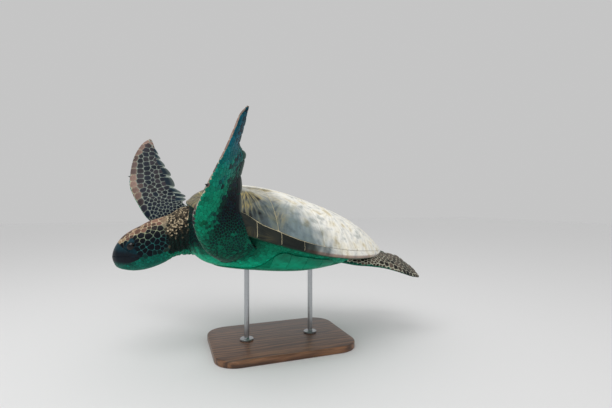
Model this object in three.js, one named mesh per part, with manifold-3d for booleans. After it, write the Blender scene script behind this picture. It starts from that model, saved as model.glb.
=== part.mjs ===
// A green sea turtle, swimming with both front flippers raised, held life-size on a plain display stand.
// Millimetres. In the turtle's own frame X runs forward, Y to its left and Z up, with the origin at
// mid-length of the shell on the level of the belly. The stand's underside is Z = 0 of the part.
import * as THREE from 'three';
import { mergeVertices } from 'three/addons/utils/BufferGeometryUtils.js';
import Module from 'manifold-3d';

const wasm = await Module();
wasm.setup();

// ---------------------------------------------------------------- driving dimensions
const SHELL_LENGTH = 600;            // straight length of the carapace
const SHELL_HALF_WIDTH = 233;        // at its widest, just ahead of the middle
const SHELL_FRONT_POWER = 0.36;      // how bluntly the outline closes at the neck
const SHELL_REAR_POWER = 0.7;        // and over the tail
const RIM_DEPTH = 8;                 // thickness of the marginal plates' edge
const PLASTRON_SHARE = 0.08;         // depth of the belly plate as a share of the trunk's section
const PLASTRON_PROUD = 0.02;         // how far the plate stands out of the flesh beside it
const PLASTRON_ROOM = 0.15;          // the flesh is cleared this far out in front of the plate
const GAP = 0.3;                     // between neighbouring solids

// heights over the belly level, at shares of the shell's length from the front edge
const RIDGE_HEIGHT = [[0, 158], [0.03, 177], [0.06, 190], [0.1, 201], [0.2, 215], [0.3, 217], [0.4, 212],
  [0.5, 200], [0.6, 186], [0.7, 169], [0.8, 146], [0.9, 112], [0.95, 91], [1, 64]];
const RIM_HEIGHT = [[0, 156], [0.06, 137], [0.1, 127], [0.2, 109], [0.3, 96], [0.5, 75], [0.7, 64],
  [0.9, 62], [1, 61]];
const BELLY_HEIGHT = [[0, 70], [0.03, 38], [0.06, 20], [0.1, 8], [0.15, 3], [0.3, 0], [0.5, 4], [0.7, 26],
  [0.8, 38], [0.9, 46], [1, 50]];
// half width of the flesh and of the plastron, as shares of the shell's half width
const FLESH_SHARE = [[0, 0.8], [0.2, 0.8], [0.4, 0.8], [0.6, 0.8], [0.75, 0.7], [0.87, 0.5], [1, 0.3]];
const PLASTRON_REACH = [[0.11, 0.2], [0.16, 0.52], [0.27, 0.66], [0.36, 0.94], [0.44, 0.96], [0.54, 0.96],
  [0.62, 0.94], [0.7, 0.72], [0.82, 0.6], [0.9, 0.3]];

// head and neck: crown point, throat point and half width of each section, from the chest to the snout
const HEAD_AND_NECK = [
  { lead: [216, 0, 129], trail: [204, 0, 27], thick: 180 },
  { lead: [264, 0, 142], trail: [252, 0, 18], thick: 162 },
  { lead: [310, 0, 140], trail: [281, 0, 17], thick: 134 },
  { lead: [338, 0, 119], trail: [312, 0, 11], thick: 112 },
  { lead: [361, 0, 107], trail: [336, 0, -6], thick: 102 },
  { lead: [384, 0, 97], trail: [360, 0, -19], thick: 100 },
  { lead: [406, 0, 82], trail: [384, 0, -28], thick: 97 },
  { lead: [428, 0, 67], trail: [408, 0, -32], thick: 86 },
  { lead: [445, 0, 50], trail: [429, 0, -31], thick: 68 },
  { lead: [456, 0, 31], trail: [443, 0, -28], thick: 50 },
  { lead: [461, 0, 15], trail: [451, 0, -23], thick: 32 },
  { lead: [462.5, 0, 2], trail: [459, 0, -11], thick: 12 },
];
const EYE = [418, 33, 34];
const EYE_RADIUS = 13;
const OCCIPUT = [336, 0, 58];        // where the head is parted from the neck
const HEAD_LEAN = 13;                // degrees by which that cut leans back from upright

// flippers: leading edge, trailing edge and thickness of each section, from the shoulder to the tip
const LEFT_FRONT = [
  { lead: [216, 72, 36], trail: [126, 84, 70], thick: 62 },
  { lead: [240, 165, 55], trail: [135, 165, 66], thick: 56 },
  { lead: [270, 225, 75], trail: [162, 218, 86], thick: 46 },
  { lead: [288, 258, 102], trail: [181, 226, 122], thick: 36 },
  { lead: [297, 282, 139], trail: [195, 216, 160], thick: 30 },
  { lead: [288, 294, 170], trail: [196, 204, 200], thick: 25 },
  { lead: [274, 303, 211], trail: [200, 207, 238], thick: 20 },
  { lead: [260, 303, 251], trail: [197, 216, 278], thick: 16 },
  { lead: [248, 303, 284], trail: [216, 240, 295], thick: 13 },
  { lead: [238, 300, 318], trail: [215, 252, 319], thick: 11 },
  { lead: [229, 294, 349], trail: [213, 264, 343], thick: 9 },
  { lead: [216, 286, 369], trail: [212, 279, 370], thick: 6 },
];
const RIGHT_FRONT = [
  { lead: [216, -72, 36], trail: [126, -84, 70], thick: 62 },
  { lead: [285, -140, 50], trail: [168, -175, 76], thick: 54 },
  { lead: [345, -190, 60], trail: [232, -200, 112], thick: 44 },
  { lead: [398, -216, 83], trail: [300, -200, 145], thick: 34 },
  { lead: [436, -240, 129], trail: [302, -216, 157], thick: 28 },
  { lead: [453, -255, 155], trail: [304, -231, 169], thick: 25 },
  { lead: [465, -270, 179], trail: [330, -252, 187], thick: 22 },
  { lead: [469, -294, 231], trail: [353, -276, 234], thick: 17 },
  { lead: [463, -312, 282], trail: [385, -294, 275], thick: 13 },
  { lead: [444, -327, 326], trail: [399, -312, 302], thick: 10 },
  { lead: [426, -336, 344], trail: [417, -333, 340], thick: 6 },
];
const HIND = [
  { lead: [-110, 104, 40], trail: [-140, 36, 42], thick: 16 },
  { lead: [-165, 116, 37], trail: [-200, 36, 52], thick: 26 },
  { lead: [-208, 122, 36], trail: [-252, 40, 64], thick: 28 },
  { lead: [-248, 127, 32], trail: [-300, 40, 62], thick: 23 },
  { lead: [-280, 129, 25], trail: [-340, 42, 55], thick: 17 },
  { lead: [-317, 126, 16], trail: [-365, 51, 39], thick: 12 },
  { lead: [-348, 117, 8], trail: [-382, 66, 26], thick: 9 },
  { lead: [-388, 97, 2], trail: [-394, 84, 8], thick: 6 },
];
const CLAWS = {
  claw_front_left: { root: [276, 296, 196], tip: [284, 307, 201], radius: 4 },
  claw_front_right: { root: [462, -281, 203], tip: [475, -287, 210], radius: 4 },
  claw_hind_left: { root: [-299, 122, 22], tip: [-301, 134, 17], radius: 3 },
  claw_hind_right: { root: [-299, -122, 22], tip: [-301, -134, 17], radius: 3 },
};
const TAIL = [
  { lead: [-230, 0, 76], trail: [-225, 0, 46], thick: 44 },
  { lead: [-275, 0, 60], trail: [-272, 0, 34], thick: 28 },
  { lead: [-305, 0, 48], trail: [-303, 0, 30], thick: 17 },
  { lead: [-330, 0, 37], trail: [-329, 0, 30], thick: 6 },
];

// attitude on the stand
const NOSE_UP = 6;                   // degrees
const LEFT_SIDE_DOWN = 2.2;          // degrees
const SWIM_HEIGHT = 220;             // belly level over the floor
const SHELL_SET_BACK = 25;           // the shell's middle sits this far behind the base's centre

const BASE_LENGTH = 390;
const BASE_WIDTH = 280;
const BASE_THICKNESS = 18;
const BASE_CORNER = 60;
const BASE_BEVEL = 2;
const ROD_RADIUS = 7;
const ROD_FOOT_RADIUS = 19;
const ROD_FOOT_HEIGHT = 5;
const ROD_PAD_RADIUS = 15;
const ROD_PAD_HEIGHT = 9;
const ROD_SPACING = 190;             // between the two rods, along the base
const ROD_SEAT = 3;                  // the pad is cut to the belly from this much above it

// ---------------------------------------------------------------- solids

function profile(knots) {
  const curve = new THREE.CubicInterpolant(knots.map((k) => k[0]), knots.map((k) => k[1]), 1);
  return (t) => curve.evaluate(t)[0];
}

function curveThrough(points) {
  return new THREE.CatmullRomCurve3(points.map((p) => new THREE.Vector3(...p)), false, 'centripetal');
}

function toSolid(positions, faces) {
  const mesh = new wasm.Mesh({
    numProp: 3,
    vertProperties: new Float32Array(positions),
    triVerts: new Uint32Array(faces),
  });
  return new wasm.Manifold(mesh);
}

function fromGeometry(geometry) {
  const bare = geometry.clone();
  bare.deleteAttribute('normal');
  bare.deleteAttribute('uv');
  const merged = mergeVertices(bare, 1e-4);
  return toSolid(merged.attributes.position.array, merged.index.array);
}

// A closed body from rings of points, each end closed by a fan about its middle.
function loft(rings) {
  const count = rings[0].length;
  const points = rings.flat();
  const firstEnd = points.length;
  for (const ring of [rings[0], rings[rings.length - 1]]) {
    const middle = new THREE.Vector3();
    ring.forEach((p) => middle.addScaledVector(p, 1 / count));
    points.push(middle);
  }
  const faces = [];
  for (let k = 0; k < count; k++) {
    const next = (k + 1) % count;
    for (let r = 0; r + 1 < rings.length; r++) {
      const a = r * count;
      const b = a + count;
      faces.push([a + k, a + next, b + next], [a + k, b + next, b + k]);
    }
    const last = (rings.length - 1) * count;
    faces.push([firstEnd, next, k], [firstEnd + 1, last + k, last + next]);
  }
  let volume = 0;
  for (const [a, b, c] of faces) {
    volume += points[a].dot(new THREE.Vector3().crossVectors(points[b], points[c]));
  }
  const outward = volume > 0 ? faces : faces.map(([a, b, c]) => [a, c, b]);
  return toSolid(points.flatMap((p) => p.toArray()), outward.flat());
}

// ---------------------------------------------------------------- shell and trunk

const ridgeHeight = profile(RIDGE_HEIGHT);
const rimHeight = profile(RIM_HEIGHT);
const bellyHeight = profile(BELLY_HEIGHT);
const fleshShare = profile(FLESH_SHARE);
const plastronReach = profile(PLASTRON_REACH);

function shellHalfWidth(t) {
  const widest = SHELL_FRONT_POWER / (SHELL_FRONT_POWER + SHELL_REAR_POWER);
  const front = Math.pow(t / widest, SHELL_FRONT_POWER);
  return SHELL_HALF_WIDTH * front * Math.pow((1 - t) / (1 - widest), SHELL_REAR_POWER);
}

// Stations crowd towards both ends, where the outline turns fastest.
function stations(first, last, steps) {
  const list = [];
  for (let i = 0; i <= steps; i++) {
    list.push(first + (last - first) * (1 - Math.cos(Math.PI * i / steps)) / 2);
  }
  return list;
}

function across(steps) {
  return Array.from({ length: steps + 1 }, (_, k) => Math.sin(Math.PI * (k / steps - 0.5)));
}

function atStation(t, y, z) {
  return new THREE.Vector3((0.5 - t) * SHELL_LENGTH, y, z);
}

function carapace(grow) {
  const rings = stations(0.0006, 0.999, 24).map((t) => {
    const half = shellHalfWidth(t) + grow;
    const rim = rimHeight(t);
    const rise = Math.max(ridgeHeight(t) - rim, 1);
    const dome = across(16).map((u) => {
      const arch = Math.pow(Math.max(1 - Math.pow(Math.abs(u), 2.2), 0), 0.75);
      return atStation(t, u * half, rim + rise * arch + grow);
    });
    const under = [0.985, 0.6, -0.6, -0.985].map((u) => atStation(t, u * half, rim - RIM_DEPTH - grow));
    return [...dome, ...under];
  });
  return loft(rings);
}

function bellyPoint(t, u, swell) {
  const rim = rimHeight(t);
  const half = fleshShare(t) * shellHalfWidth(t) * (1 + swell);
  const low = bellyHeight(t);
  const z = low + (rim - 12 - low) * Math.pow(Math.min(Math.abs(u), 1), 5);
  return atStation(t, u * half, rim + (z - rim) * (1 + swell));
}

function trunk() {
  const rings = stations(0.01, 0.97, 18).map((t) => {
    const belly = across(10).map((u) => bellyPoint(t, u, 0));
    const top = [0.97, 0, -0.97].map((u) => {
      return atStation(t, u * fleshShare(t) * shellHalfWidth(t), rimHeight(t) + 2);
    });
    return [...belly, ...top];
  });
  return loft(rings);
}

// The plate, or with grow the room that the flesh leaves for it, which reaches well out in front.
function plastron(grow) {
  const places = stations(0.11, 0.9, 14);
  const rings = places.map((t, i) => {
    const reach = plastronReach(t) + grow / 40;
    const atEnd = i === 0 ? -1 : Number(i === places.length - 1);
    const place = t + atEnd * grow / SHELL_LENGTH;
    const layer = (sign, swell) => across(10).map((u) => bellyPoint(place, sign * u * reach, swell));
    const face = layer(1, PLASTRON_PROUD);
    const back = layer(-1, -PLASTRON_SHARE - grow / 60);
    const front = grow > 0 ? layer(1, PLASTRON_ROOM) : [];
    return grow > 0 ? [...front, face[face.length - 1], ...back, face[0]] : [...face, ...back];
  });
  return loft(rings);
}

// ---------------------------------------------------------------- head, neck, flippers and tail

// A limb runs between its leading and its trailing edge; section lists where each point of a ring
// lies, as a share of the way across and as a share of the half thickness to either side.
function limb(rows, steps, section) {
  const lead = curveThrough(rows.map((row) => row.lead));
  const trail = curveThrough(rows.map((row) => row.trail));
  const thick = curveThrough(rows.map((row) => [row.thick, 0, 0]));
  const rings = [];
  for (let i = 0; i <= steps; i++) {
    const t = i / steps;
    const front = lead.getPoint(t);
    const chord = trail.getPoint(t).sub(front);
    const along = lead.getTangent(t).add(trail.getTangent(t));
    const side = new THREE.Vector3().crossVectors(along, chord).normalize();
    const half = thick.getPoint(t).x / 2;
    rings.push(section.map(([share, out]) => {
      return front.clone().addScaledVector(chord, share).addScaledVector(side, out * half);
    }));
  }
  return loft(rings);
}

// Round at the leading edge, thinning towards the trailing one.
function flipperSection(count) {
  return Array.from({ length: count }, (_, k) => {
    const turn = 2 * Math.PI * (k + 0.5) / count;
    const share = (1 - Math.cos(turn)) / 2;
    return [share, Math.sin(turn) * (1.35 - 0.95 * share)];
  });
}

// Full-cheeked, a little narrower at the throat than at the crown.
function headSection(count) {
  return Array.from({ length: count }, (_, k) => {
    const turn = 2 * Math.PI * k / count;
    const share = (1 - Math.cos(turn)) / 2;
    const sideways = Math.sign(Math.sin(turn)) * Math.pow(Math.abs(Math.sin(turn)), 0.87);
    return [share, sideways * (1.07 - 0.14 * share)];
  });
}

function mirrored(rows) {
  return rows.map(({ lead, trail, thick }) => ({
    lead: [lead[0], -lead[1], lead[2]],
    trail: [trail[0], -trail[1], trail[2]],
    thick,
  }));
}

// A box that starts at a point and runs on from there, to part a limb from the body.
function beyond(point, direction, width, height, setBack = 0) {
  const length = 420;
  const geometry = new THREE.BoxGeometry(length, width, height);
  geometry.translate(length / 2 - setBack, 0, 0);
  const turn = new THREE.Quaternion().setFromUnitVectors(
    new THREE.Vector3(1, 0, 0),
    new THREE.Vector3(...direction).normalize(),
  );
  geometry.applyQuaternion(turn);
  geometry.translate(...point);
  return fromGeometry(geometry);
}

// A slab of the snout, seen from the side as the outline given, for the horny beak.
function snoutSlab(outline) {
  const shape = new THREE.Shape(outline.map(([x, z]) => new THREE.Vector2(x, z)));
  const geometry = new THREE.ExtrudeGeometry(shape, { depth: 120, bevelEnabled: false });
  geometry.rotateX(Math.PI / 2);
  geometry.translate(0, 60, 0);
  return fromGeometry(geometry);
}

function eyeball(side, radius) {
  const geometry = new THREE.SphereGeometry(radius, 12, 8);
  geometry.rotateX(Math.PI / 2);
  geometry.translate(EYE[0], side * EYE[1], EYE[2]);
  return fromGeometry(geometry);
}

// The mouth line runs back from the tip of the snout; grow opens the room that the flesh leaves.
function upperBeak(grow) {
  return snoutSlab([[480, 1.5 - grow], [447, 5.5 - grow], [420, 10 - grow], [394 - grow, 9 - grow],
    [394 - grow, 15 + grow], [420, 19 + grow], [437, 28 + grow], [448, 38 + grow], [480, 44 + grow]]);
}

function lowerBeak(grow) {
  return snoutSlab([[480, 1 + grow], [447, 5 + grow], [420, 9.5 + grow], [398 - grow, 8 + grow],
    [402 - grow, 1 - grow], [424, -11 - grow], [444, -24 - grow], [480, -34 - grow]]);
}

function claw({ root, tip, radius }, grow) {
  const along = new THREE.Vector3(...tip).sub(new THREE.Vector3(...root));
  const geometry = new THREE.ConeGeometry(radius + grow, along.length() + 2 * grow, 8);
  geometry.translate(0, along.length() / 2, 0);
  geometry.applyQuaternion(new THREE.Quaternion().setFromUnitVectors(
    new THREE.Vector3(0, 1, 0),
    along.clone().normalize(),
  ));
  geometry.translate(...root);
  return fromGeometry(geometry);
}

// Where a cut leaves a splinter beside the piece, the piece is the largest body.
function largest(solid) {
  return solid.decompose().reduce((a, b) => (b.volume() > a.volume() ? b : a));
}

// ---------------------------------------------------------------- the body, parted

const headAndNeck = limb(HEAD_AND_NECK, 29, headSection(18));
let flesh = trunk();
for (const more of [
  headAndNeck,
  limb(LEFT_FRONT, 24, flipperSection(14)),
  limb(RIGHT_FRONT, 24, flipperSection(14)),
  limb(HIND, 14, flipperSection(12)),
  limb(mirrored(HIND), 14, flipperSection(12)),
  limb(TAIL, 6, headSection(10)),
]) {
  flesh = flesh.add(more);
}
for (const room of [
  carapace(GAP),
  plastron(GAP),
  upperBeak(GAP),
  lowerBeak(GAP),
  eyeball(1, EYE_RADIUS + GAP),
  eyeball(-1, EYE_RADIUS + GAP),
  ...Object.values(CLAWS).map((shape) => claw(shape, GAP)),
]) {
  flesh = flesh.subtract(room);
}

const headForward = [Math.cos(HEAD_LEAN * Math.PI / 180), 0, -Math.sin(HEAD_LEAN * Math.PI / 180)];
// each limb's name, a point and direction of the cut that parts it, and the cut's width and height
const CUTS = [
  ['head', OCCIPUT, headForward, 150, 260],
  ['neck', [292, 0, 70], [1, 0, 0], 180, 240],
  ['front_flipper_left_blade', [240, 250, 130], [0, 0, 1], 260, 260],
  ['front_flipper_left_arm', [230, 192, 80], [0, 1, 0], 320, 240],
  ['front_flipper_right_blade', [356, -218, 124], [0.5, -0.48, 0.72], 420, 300],
  ['front_flipper_right_arm', [250, -175, 90], [0.75, -0.66, 0], 220, 300],
  ['hind_flipper_left', [-228, 88, 50], [-0.96, 0.18, -0.2], 116, 160],
  ['hind_flipper_right', [-228, -88, 50], [-0.96, -0.18, -0.2], 116, 160],
  ['tail', [-268, 0, 45], [-1, 0, 0], 52, 80],
];

const bodySolids = new Map();
for (const [name, point, direction, width, height] of CUTS) {
  bodySolids.set(name, largest(flesh.intersect(beyond(point, direction, width, height))));
  flesh = flesh.subtract(beyond(point, direction, width + 2 * GAP, height + 2 * GAP, GAP));
}
bodySolids.set('trunk', largest(flesh));
bodySolids.set('carapace', carapace(0));
bodySolids.set('plastron', plastron(0));
bodySolids.set('upper_beak', headAndNeck.intersect(upperBeak(0)));
bodySolids.set('lower_beak', headAndNeck.intersect(lowerBeak(0)));
bodySolids.set('eye_left', eyeball(1, EYE_RADIUS));
bodySolids.set('eye_right', eyeball(-1, EYE_RADIUS));
for (const [name, shape] of Object.entries(CLAWS)) {
  bodySolids.set(name, claw(shape, 0));
}

// ---------------------------------------------------------------- finishes

function finish(color, roughness, metalness = 0) {
  return new THREE.MeshStandardMaterial({ color, roughness, metalness });
}

const dorsalSkin = finish(0x3d4650, 0.6);
const headSkin = finish(0x4a4238, 0.55);
const paleSkin = finish(0x2e7a5c, 0.6);
const horn = finish(0x12302f, 0.35);
const FINISHES = {
  head: headSkin,
  neck: finish(0x6e6046, 0.7),
  trunk: paleSkin,
  carapace: finish(0xc9c6b4, 0.6),
  plastron: finish(0x2b9474, 0.5),
  upper_beak: horn,
  lower_beak: horn,
  eye_left: finish(0x08090b, 0.08),
  eye_right: finish(0x08090b, 0.08),
  tail: dorsalSkin,
};

function solidGeometry(solid) {
  const { vertProperties, triVerts } = solid.getMesh();
  const geometry = new THREE.BufferGeometry();
  geometry.setAttribute('position', new THREE.BufferAttribute(vertProperties, 3));
  geometry.setIndex(new THREE.BufferAttribute(triVerts, 1));
  return geometry;
}

function addPiece(group, name, solid, material) {
  const mesh = new THREE.Mesh(solidGeometry(solid), material);
  mesh.name = name;
  group.add(mesh);
}

// ---------------------------------------------------------------- the turtle on its stand

const turtle = new THREE.Group();
turtle.rotation.set(
  THREE.MathUtils.degToRad(-LEFT_SIDE_DOWN),
  THREE.MathUtils.degToRad(-NOSE_UP),
  THREE.MathUtils.degToRad(-90),
  'ZYX',
);
turtle.position.set(0, SHELL_SET_BACK, SWIM_HEIGHT);
turtle.updateMatrixWorld();
for (const [name, solid] of bodySolids) {
  addPiece(turtle, name, solid, FINISHES[name] ?? (name.startsWith('claw') ? horn : dorsalSkin));
}

function standBase() {
  const halfWidth = BASE_WIDTH / 2 - BASE_BEVEL - BASE_CORNER;
  const halfLength = BASE_LENGTH / 2 - BASE_BEVEL - BASE_CORNER;
  const outline = new THREE.Shape();
  outline.absarc(halfWidth, halfLength, BASE_CORNER, 0, Math.PI / 2);
  outline.absarc(-halfWidth, halfLength, BASE_CORNER, Math.PI / 2, Math.PI);
  outline.absarc(-halfWidth, -halfLength, BASE_CORNER, Math.PI, 1.5 * Math.PI);
  outline.absarc(halfWidth, -halfLength, BASE_CORNER, 1.5 * Math.PI, 2 * Math.PI);
  const geometry = new THREE.ExtrudeGeometry(outline, {
    depth: BASE_THICKNESS - 2 * BASE_BEVEL,
    bevelSize: BASE_BEVEL,
    bevelThickness: BASE_BEVEL,
    bevelSegments: 1,
    curveSegments: 5,
  });
  geometry.translate(0, 0, BASE_BEVEL);
  return fromGeometry(geometry);
}

// A turned rod with a round foot on the base and a pad that is cut to the belly it carries.
function standRod(y) {
  const forward = SHELL_SET_BACK - y;
  const belly = new THREE.Vector3(forward, 0, bellyHeight(0.5 - forward / SHELL_LENGTH));
  const top = turtle.localToWorld(belly).z + ROD_SEAT;
  const bottom = BASE_THICKNESS + GAP;
  const outline = [
    [0, bottom],
    [ROD_FOOT_RADIUS, bottom],
    [ROD_FOOT_RADIUS, bottom + ROD_FOOT_HEIGHT],
    [ROD_RADIUS, bottom + ROD_FOOT_HEIGHT + 1],
    [ROD_RADIUS, top - ROD_PAD_HEIGHT - ROD_RADIUS],
    [ROD_PAD_RADIUS, top - ROD_PAD_HEIGHT],
    [ROD_PAD_RADIUS, top],
    [0, top],
  ];
  const geometry = new THREE.LatheGeometry(outline.map(([r, z]) => new THREE.Vector2(r, z)), 18);
  geometry.rotateX(Math.PI / 2);
  geometry.translate(0, y, 0);
  const plate = solidGeometry(bodySolids.get('plastron')).applyMatrix4(turtle.matrixWorld);
  return largest(fromGeometry(geometry).subtract(fromGeometry(plate.translate(0, 0, -GAP))));
}

const steel = finish(0x8f9396, 0.35, 1);
const group = new THREE.Group();
group.add(turtle);
addPiece(group, 'stand_base', standBase(), finish(0x4a3423, 0.5));
addPiece(group, 'stand_rod_front', standRod(-ROD_SPACING / 2), steel);
addPiece(group, 'stand_rod_rear', standRod(ROD_SPACING / 2), steel);

export default group;
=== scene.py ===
from math import radians

import bpy
import numpy as np
from mathutils import Matrix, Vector
from mathutils.bvhtree import BVHTree
from mathutils.kdtree import KDTree


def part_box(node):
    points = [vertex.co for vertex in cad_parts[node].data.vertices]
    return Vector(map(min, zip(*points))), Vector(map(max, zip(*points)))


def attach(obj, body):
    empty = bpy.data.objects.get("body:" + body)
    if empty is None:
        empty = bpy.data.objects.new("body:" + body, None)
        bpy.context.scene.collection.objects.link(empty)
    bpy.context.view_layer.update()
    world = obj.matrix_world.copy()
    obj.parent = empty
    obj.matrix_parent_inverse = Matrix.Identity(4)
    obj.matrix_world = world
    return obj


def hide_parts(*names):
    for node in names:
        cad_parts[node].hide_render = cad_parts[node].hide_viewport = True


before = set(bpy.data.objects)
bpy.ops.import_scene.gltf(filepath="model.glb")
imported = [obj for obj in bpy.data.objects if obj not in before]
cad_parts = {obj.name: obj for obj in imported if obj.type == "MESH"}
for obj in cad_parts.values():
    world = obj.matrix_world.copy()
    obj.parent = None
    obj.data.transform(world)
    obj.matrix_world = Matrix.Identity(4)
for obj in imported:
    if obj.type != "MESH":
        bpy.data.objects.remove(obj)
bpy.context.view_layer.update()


# ================================================================== camera
# The turtle is seen from its left and a little ahead, at the height of its back, by a wide lens close by.
bpy.ops.object.camera_add(location=(1.0616, -0.304, 0.400), rotation=(radians(90), 0, radians(70)))
camera = bpy.context.object
camera.data.lens = 22.35
bpy.context.scene.camera = camera


# ================================================================== body under the scales
# A living turtle's skin is one sheet of tough leather, from the lips to the tips of the flippers. Here it
# is lofted limb by limb round the same bones as the solids, then melted into one surface. All measures are
# millimetres in the animal's own frame: X forward, Y to its left, Z up, from mid-shell on the belly level.
MM = 0.001
NOSE_UP = radians(6)
LEFT_SIDE_DOWN = radians(2.2)
SWIM_HEIGHT = 0.220
SHELL_SET_BACK = 0.025
ATTITUDE = np.array(
    Matrix.Rotation(radians(-90), 3, "Z")
    @ Matrix.Rotation(-NOSE_UP, 3, "Y")
    @ Matrix.Rotation(-LEFT_SIDE_DOWN, 3, "X")
)
PLACE = np.array([0, SHELL_SET_BACK, SWIM_HEIGHT])

SHELL_LENGTH = 600
SHELL_HALF_WIDTH = 233
SHELL_FRONT_POWER = 0.36
SHELL_REAR_POWER = 0.7
RIM_DEPTH = 8

COAT = 0.5                     # the skin lies this far inside the solids, to leave room for its scales
SKIN_GRAIN = 0.0018            # cell of the surface that melts the limbs into one skin
SKIN_KEPT = 0.33               # share of its faces kept where the surface bends little


def crowded(count):
    """Shares from 0 to 1, closer together toward both ends."""
    return (1 - np.cos(np.linspace(0, np.pi, count))) / 2


def crowded_across(count):
    """The same from -1 to 1."""
    return np.sin(np.linspace(-np.pi / 2, np.pi / 2, count))


def on_stand(points):
    return np.asarray(points, float) * MM @ ATTITUDE.T + PLACE


def off_stand(points):
    return (np.asarray(points, float) - PLACE) @ ATTITUDE / MM


def profile(knots):
    """A smooth curve through knots of share and height, level at both ends."""
    x, y = np.array(knots, float).T
    rise = np.diff(y) / np.diff(x)
    slope = np.concatenate([[0], (rise[1:] + rise[:-1]) / 2, [0]])

    def at(t):
        k = np.clip(np.searchsorted(x, t, side="right") - 1, 0, len(x) - 2)
        step = x[k + 1] - x[k]
        p = np.clip((t - x[k]) / step, 0, 1)
        start = (2 * p**3 - 3 * p**2 + 1) * y[k] + (p**3 - 2 * p**2 + p) * step * slope[k]
        return start + (3 * p**2 - 2 * p**3) * y[k + 1] + (p**3 - p**2) * step * slope[k + 1]

    return at


def spline(points, t):
    """A centripetal curve through the points, at shares t of the way along."""
    p = np.array(points, float)
    p = np.vstack([2 * p[0] - p[1], p, 2 * p[-1] - p[-2]])
    place = np.clip(np.asarray(t, float), 0, 1) * (len(points) - 1)
    k = np.minimum(place.astype(int), len(points) - 2)
    w = (place - k)[..., None]
    a, b, c, d = (p[k + step] for step in range(4))
    ab, bc, cd = (np.linalg.norm(v - u, axis=-1)[..., None] ** 0.5 for u, v in ((a, b), (b, c), (c, d)))
    leave = ((b - a) / ab - (c - a) / (ab + bc) + (c - b) / bc) * bc
    arrive = ((c - b) / bc - (d - b) / (bc + cd) + (d - c) / cd) * bc
    return b + leave * w + (3 * (c - b) - 2 * leave - arrive) * w**2 + (2 * (b - c) + leave + arrive) * w**3


ridge_height = profile([[0, 158], [0.03, 177], [0.06, 190], [0.1, 201], [0.2, 215], [0.3, 217], [0.4, 212],
                        [0.5, 200], [0.6, 186], [0.7, 169], [0.8, 146], [0.9, 112], [0.95, 91], [1, 64]])
rim_height = profile([[0, 156], [0.06, 137], [0.1, 127], [0.2, 109], [0.3, 96], [0.5, 75], [0.7, 64],
                      [0.9, 62], [1, 61]])
belly_height = profile([[0, 70], [0.03, 38], [0.06, 20], [0.1, 8], [0.15, 3], [0.3, 0], [0.5, 4], [0.7, 26],
                        [0.8, 38], [0.9, 46], [1, 50]])
flesh_share = profile([[0, 0.8], [0.2, 0.8], [0.4, 0.8], [0.6, 0.8], [0.75, 0.7], [0.87, 0.5], [1, 0.3]])


def shell_half_width(t):
    widest = SHELL_FRONT_POWER / (SHELL_FRONT_POWER + SHELL_REAR_POWER)
    front = (t / widest) ** SHELL_FRONT_POWER
    return SHELL_HALF_WIDTH * front * ((1 - t) / (1 - widest)) ** SHELL_REAR_POWER


def belly_point(t, u, swell):
    """A point of the belly at station t from the front, u across from -1 to 1, swollen about the rim."""
    rim = rim_height(t)
    low = belly_height(t)
    half = flesh_share(t) * shell_half_width(t) * (1 + swell)
    z = low + (rim - 12 - low) * np.minimum(np.abs(u), 1) ** 5
    return stack((0.5 - t) * SHELL_LENGTH, u * half, rim + (z - rim) * (1 + swell))


def stack(*parts):
    return np.stack(np.broadcast_arrays(*parts), -1)


# Each row of a limb: leading edge, trailing edge, thickness. On the head these are crown, throat and width.
HEAD_AND_NECK = [
    [(216, 0, 129), (204, 0, 27), 180],
    [(264, 0, 142), (252, 0, 18), 162],
    [(310, 0, 140), (281, 0, 17), 134],
    [(338, 0, 119), (312, 0, 11), 112],
    [(361, 0, 107), (336, 0, -6), 102],
    [(384, 0, 97), (360, 0, -19), 100],
    [(406, 0, 82), (384, 0, -28), 97],
    [(428, 0, 67), (408, 0, -32), 86],
    [(445, 0, 50), (429, 0, -31), 68],
    [(456, 0, 31), (443, 0, -28), 50],
    [(461, 0, 15), (451, 0, -23), 32],
    [(462.5, 0, 2), (459, 0, -11), 12],
]
FRONT_LEFT = [
    [(216, 72, 36), (126, 84, 70), 62],
    [(240, 165, 55), (135, 165, 66), 56],
    [(270, 225, 75), (162, 218, 86), 46],
    [(288, 258, 102), (181, 226, 122), 36],
    [(297, 282, 139), (195, 216, 160), 30],
    [(288, 294, 170), (196, 204, 200), 25],
    [(274, 303, 211), (200, 207, 238), 20],
    [(260, 303, 251), (197, 216, 278), 16],
    [(248, 303, 284), (216, 240, 295), 13],
    [(238, 300, 318), (215, 252, 319), 11],
    [(229, 294, 349), (213, 264, 343), 9],
    [(216, 286, 369), (212, 279, 370), 6],
]
FRONT_RIGHT = [
    [(216, -72, 36), (126, -84, 70), 62],
    [(285, -140, 50), (168, -175, 76), 54],
    [(345, -190, 60), (232, -200, 112), 44],
    [(398, -216, 83), (300, -200, 145), 34],
    [(436, -240, 129), (302, -216, 157), 28],
    [(453, -255, 155), (304, -231, 169), 25],
    [(465, -270, 179), (330, -252, 187), 22],
    [(469, -294, 231), (353, -276, 234), 17],
    [(463, -312, 282), (385, -294, 275), 13],
    [(444, -327, 326), (399, -312, 302), 10],
    [(426, -336, 344), (417, -333, 340), 6],
]
HIND_LEFT = [
    [(-110, 104, 40), (-140, 36, 42), 16],
    [(-165, 116, 37), (-200, 36, 52), 26],
    [(-208, 122, 36), (-252, 40, 64), 28],
    [(-248, 127, 32), (-300, 40, 62), 23],
    [(-280, 129, 25), (-340, 42, 55), 17],
    [(-317, 126, 16), (-365, 51, 39), 12],
    [(-348, 117, 8), (-382, 66, 26), 9],
    [(-388, 97, 2), (-394, 84, 8), 6],
]
TAIL = [
    [(-230, 0, 76), (-225, 0, 46), 44],
    [(-275, 0, 60), (-272, 0, 34), 28],
    [(-305, 0, 48), (-303, 0, 30), 17],
    [(-330, 0, 37), (-329, 0, 30), 6],
]
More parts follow.
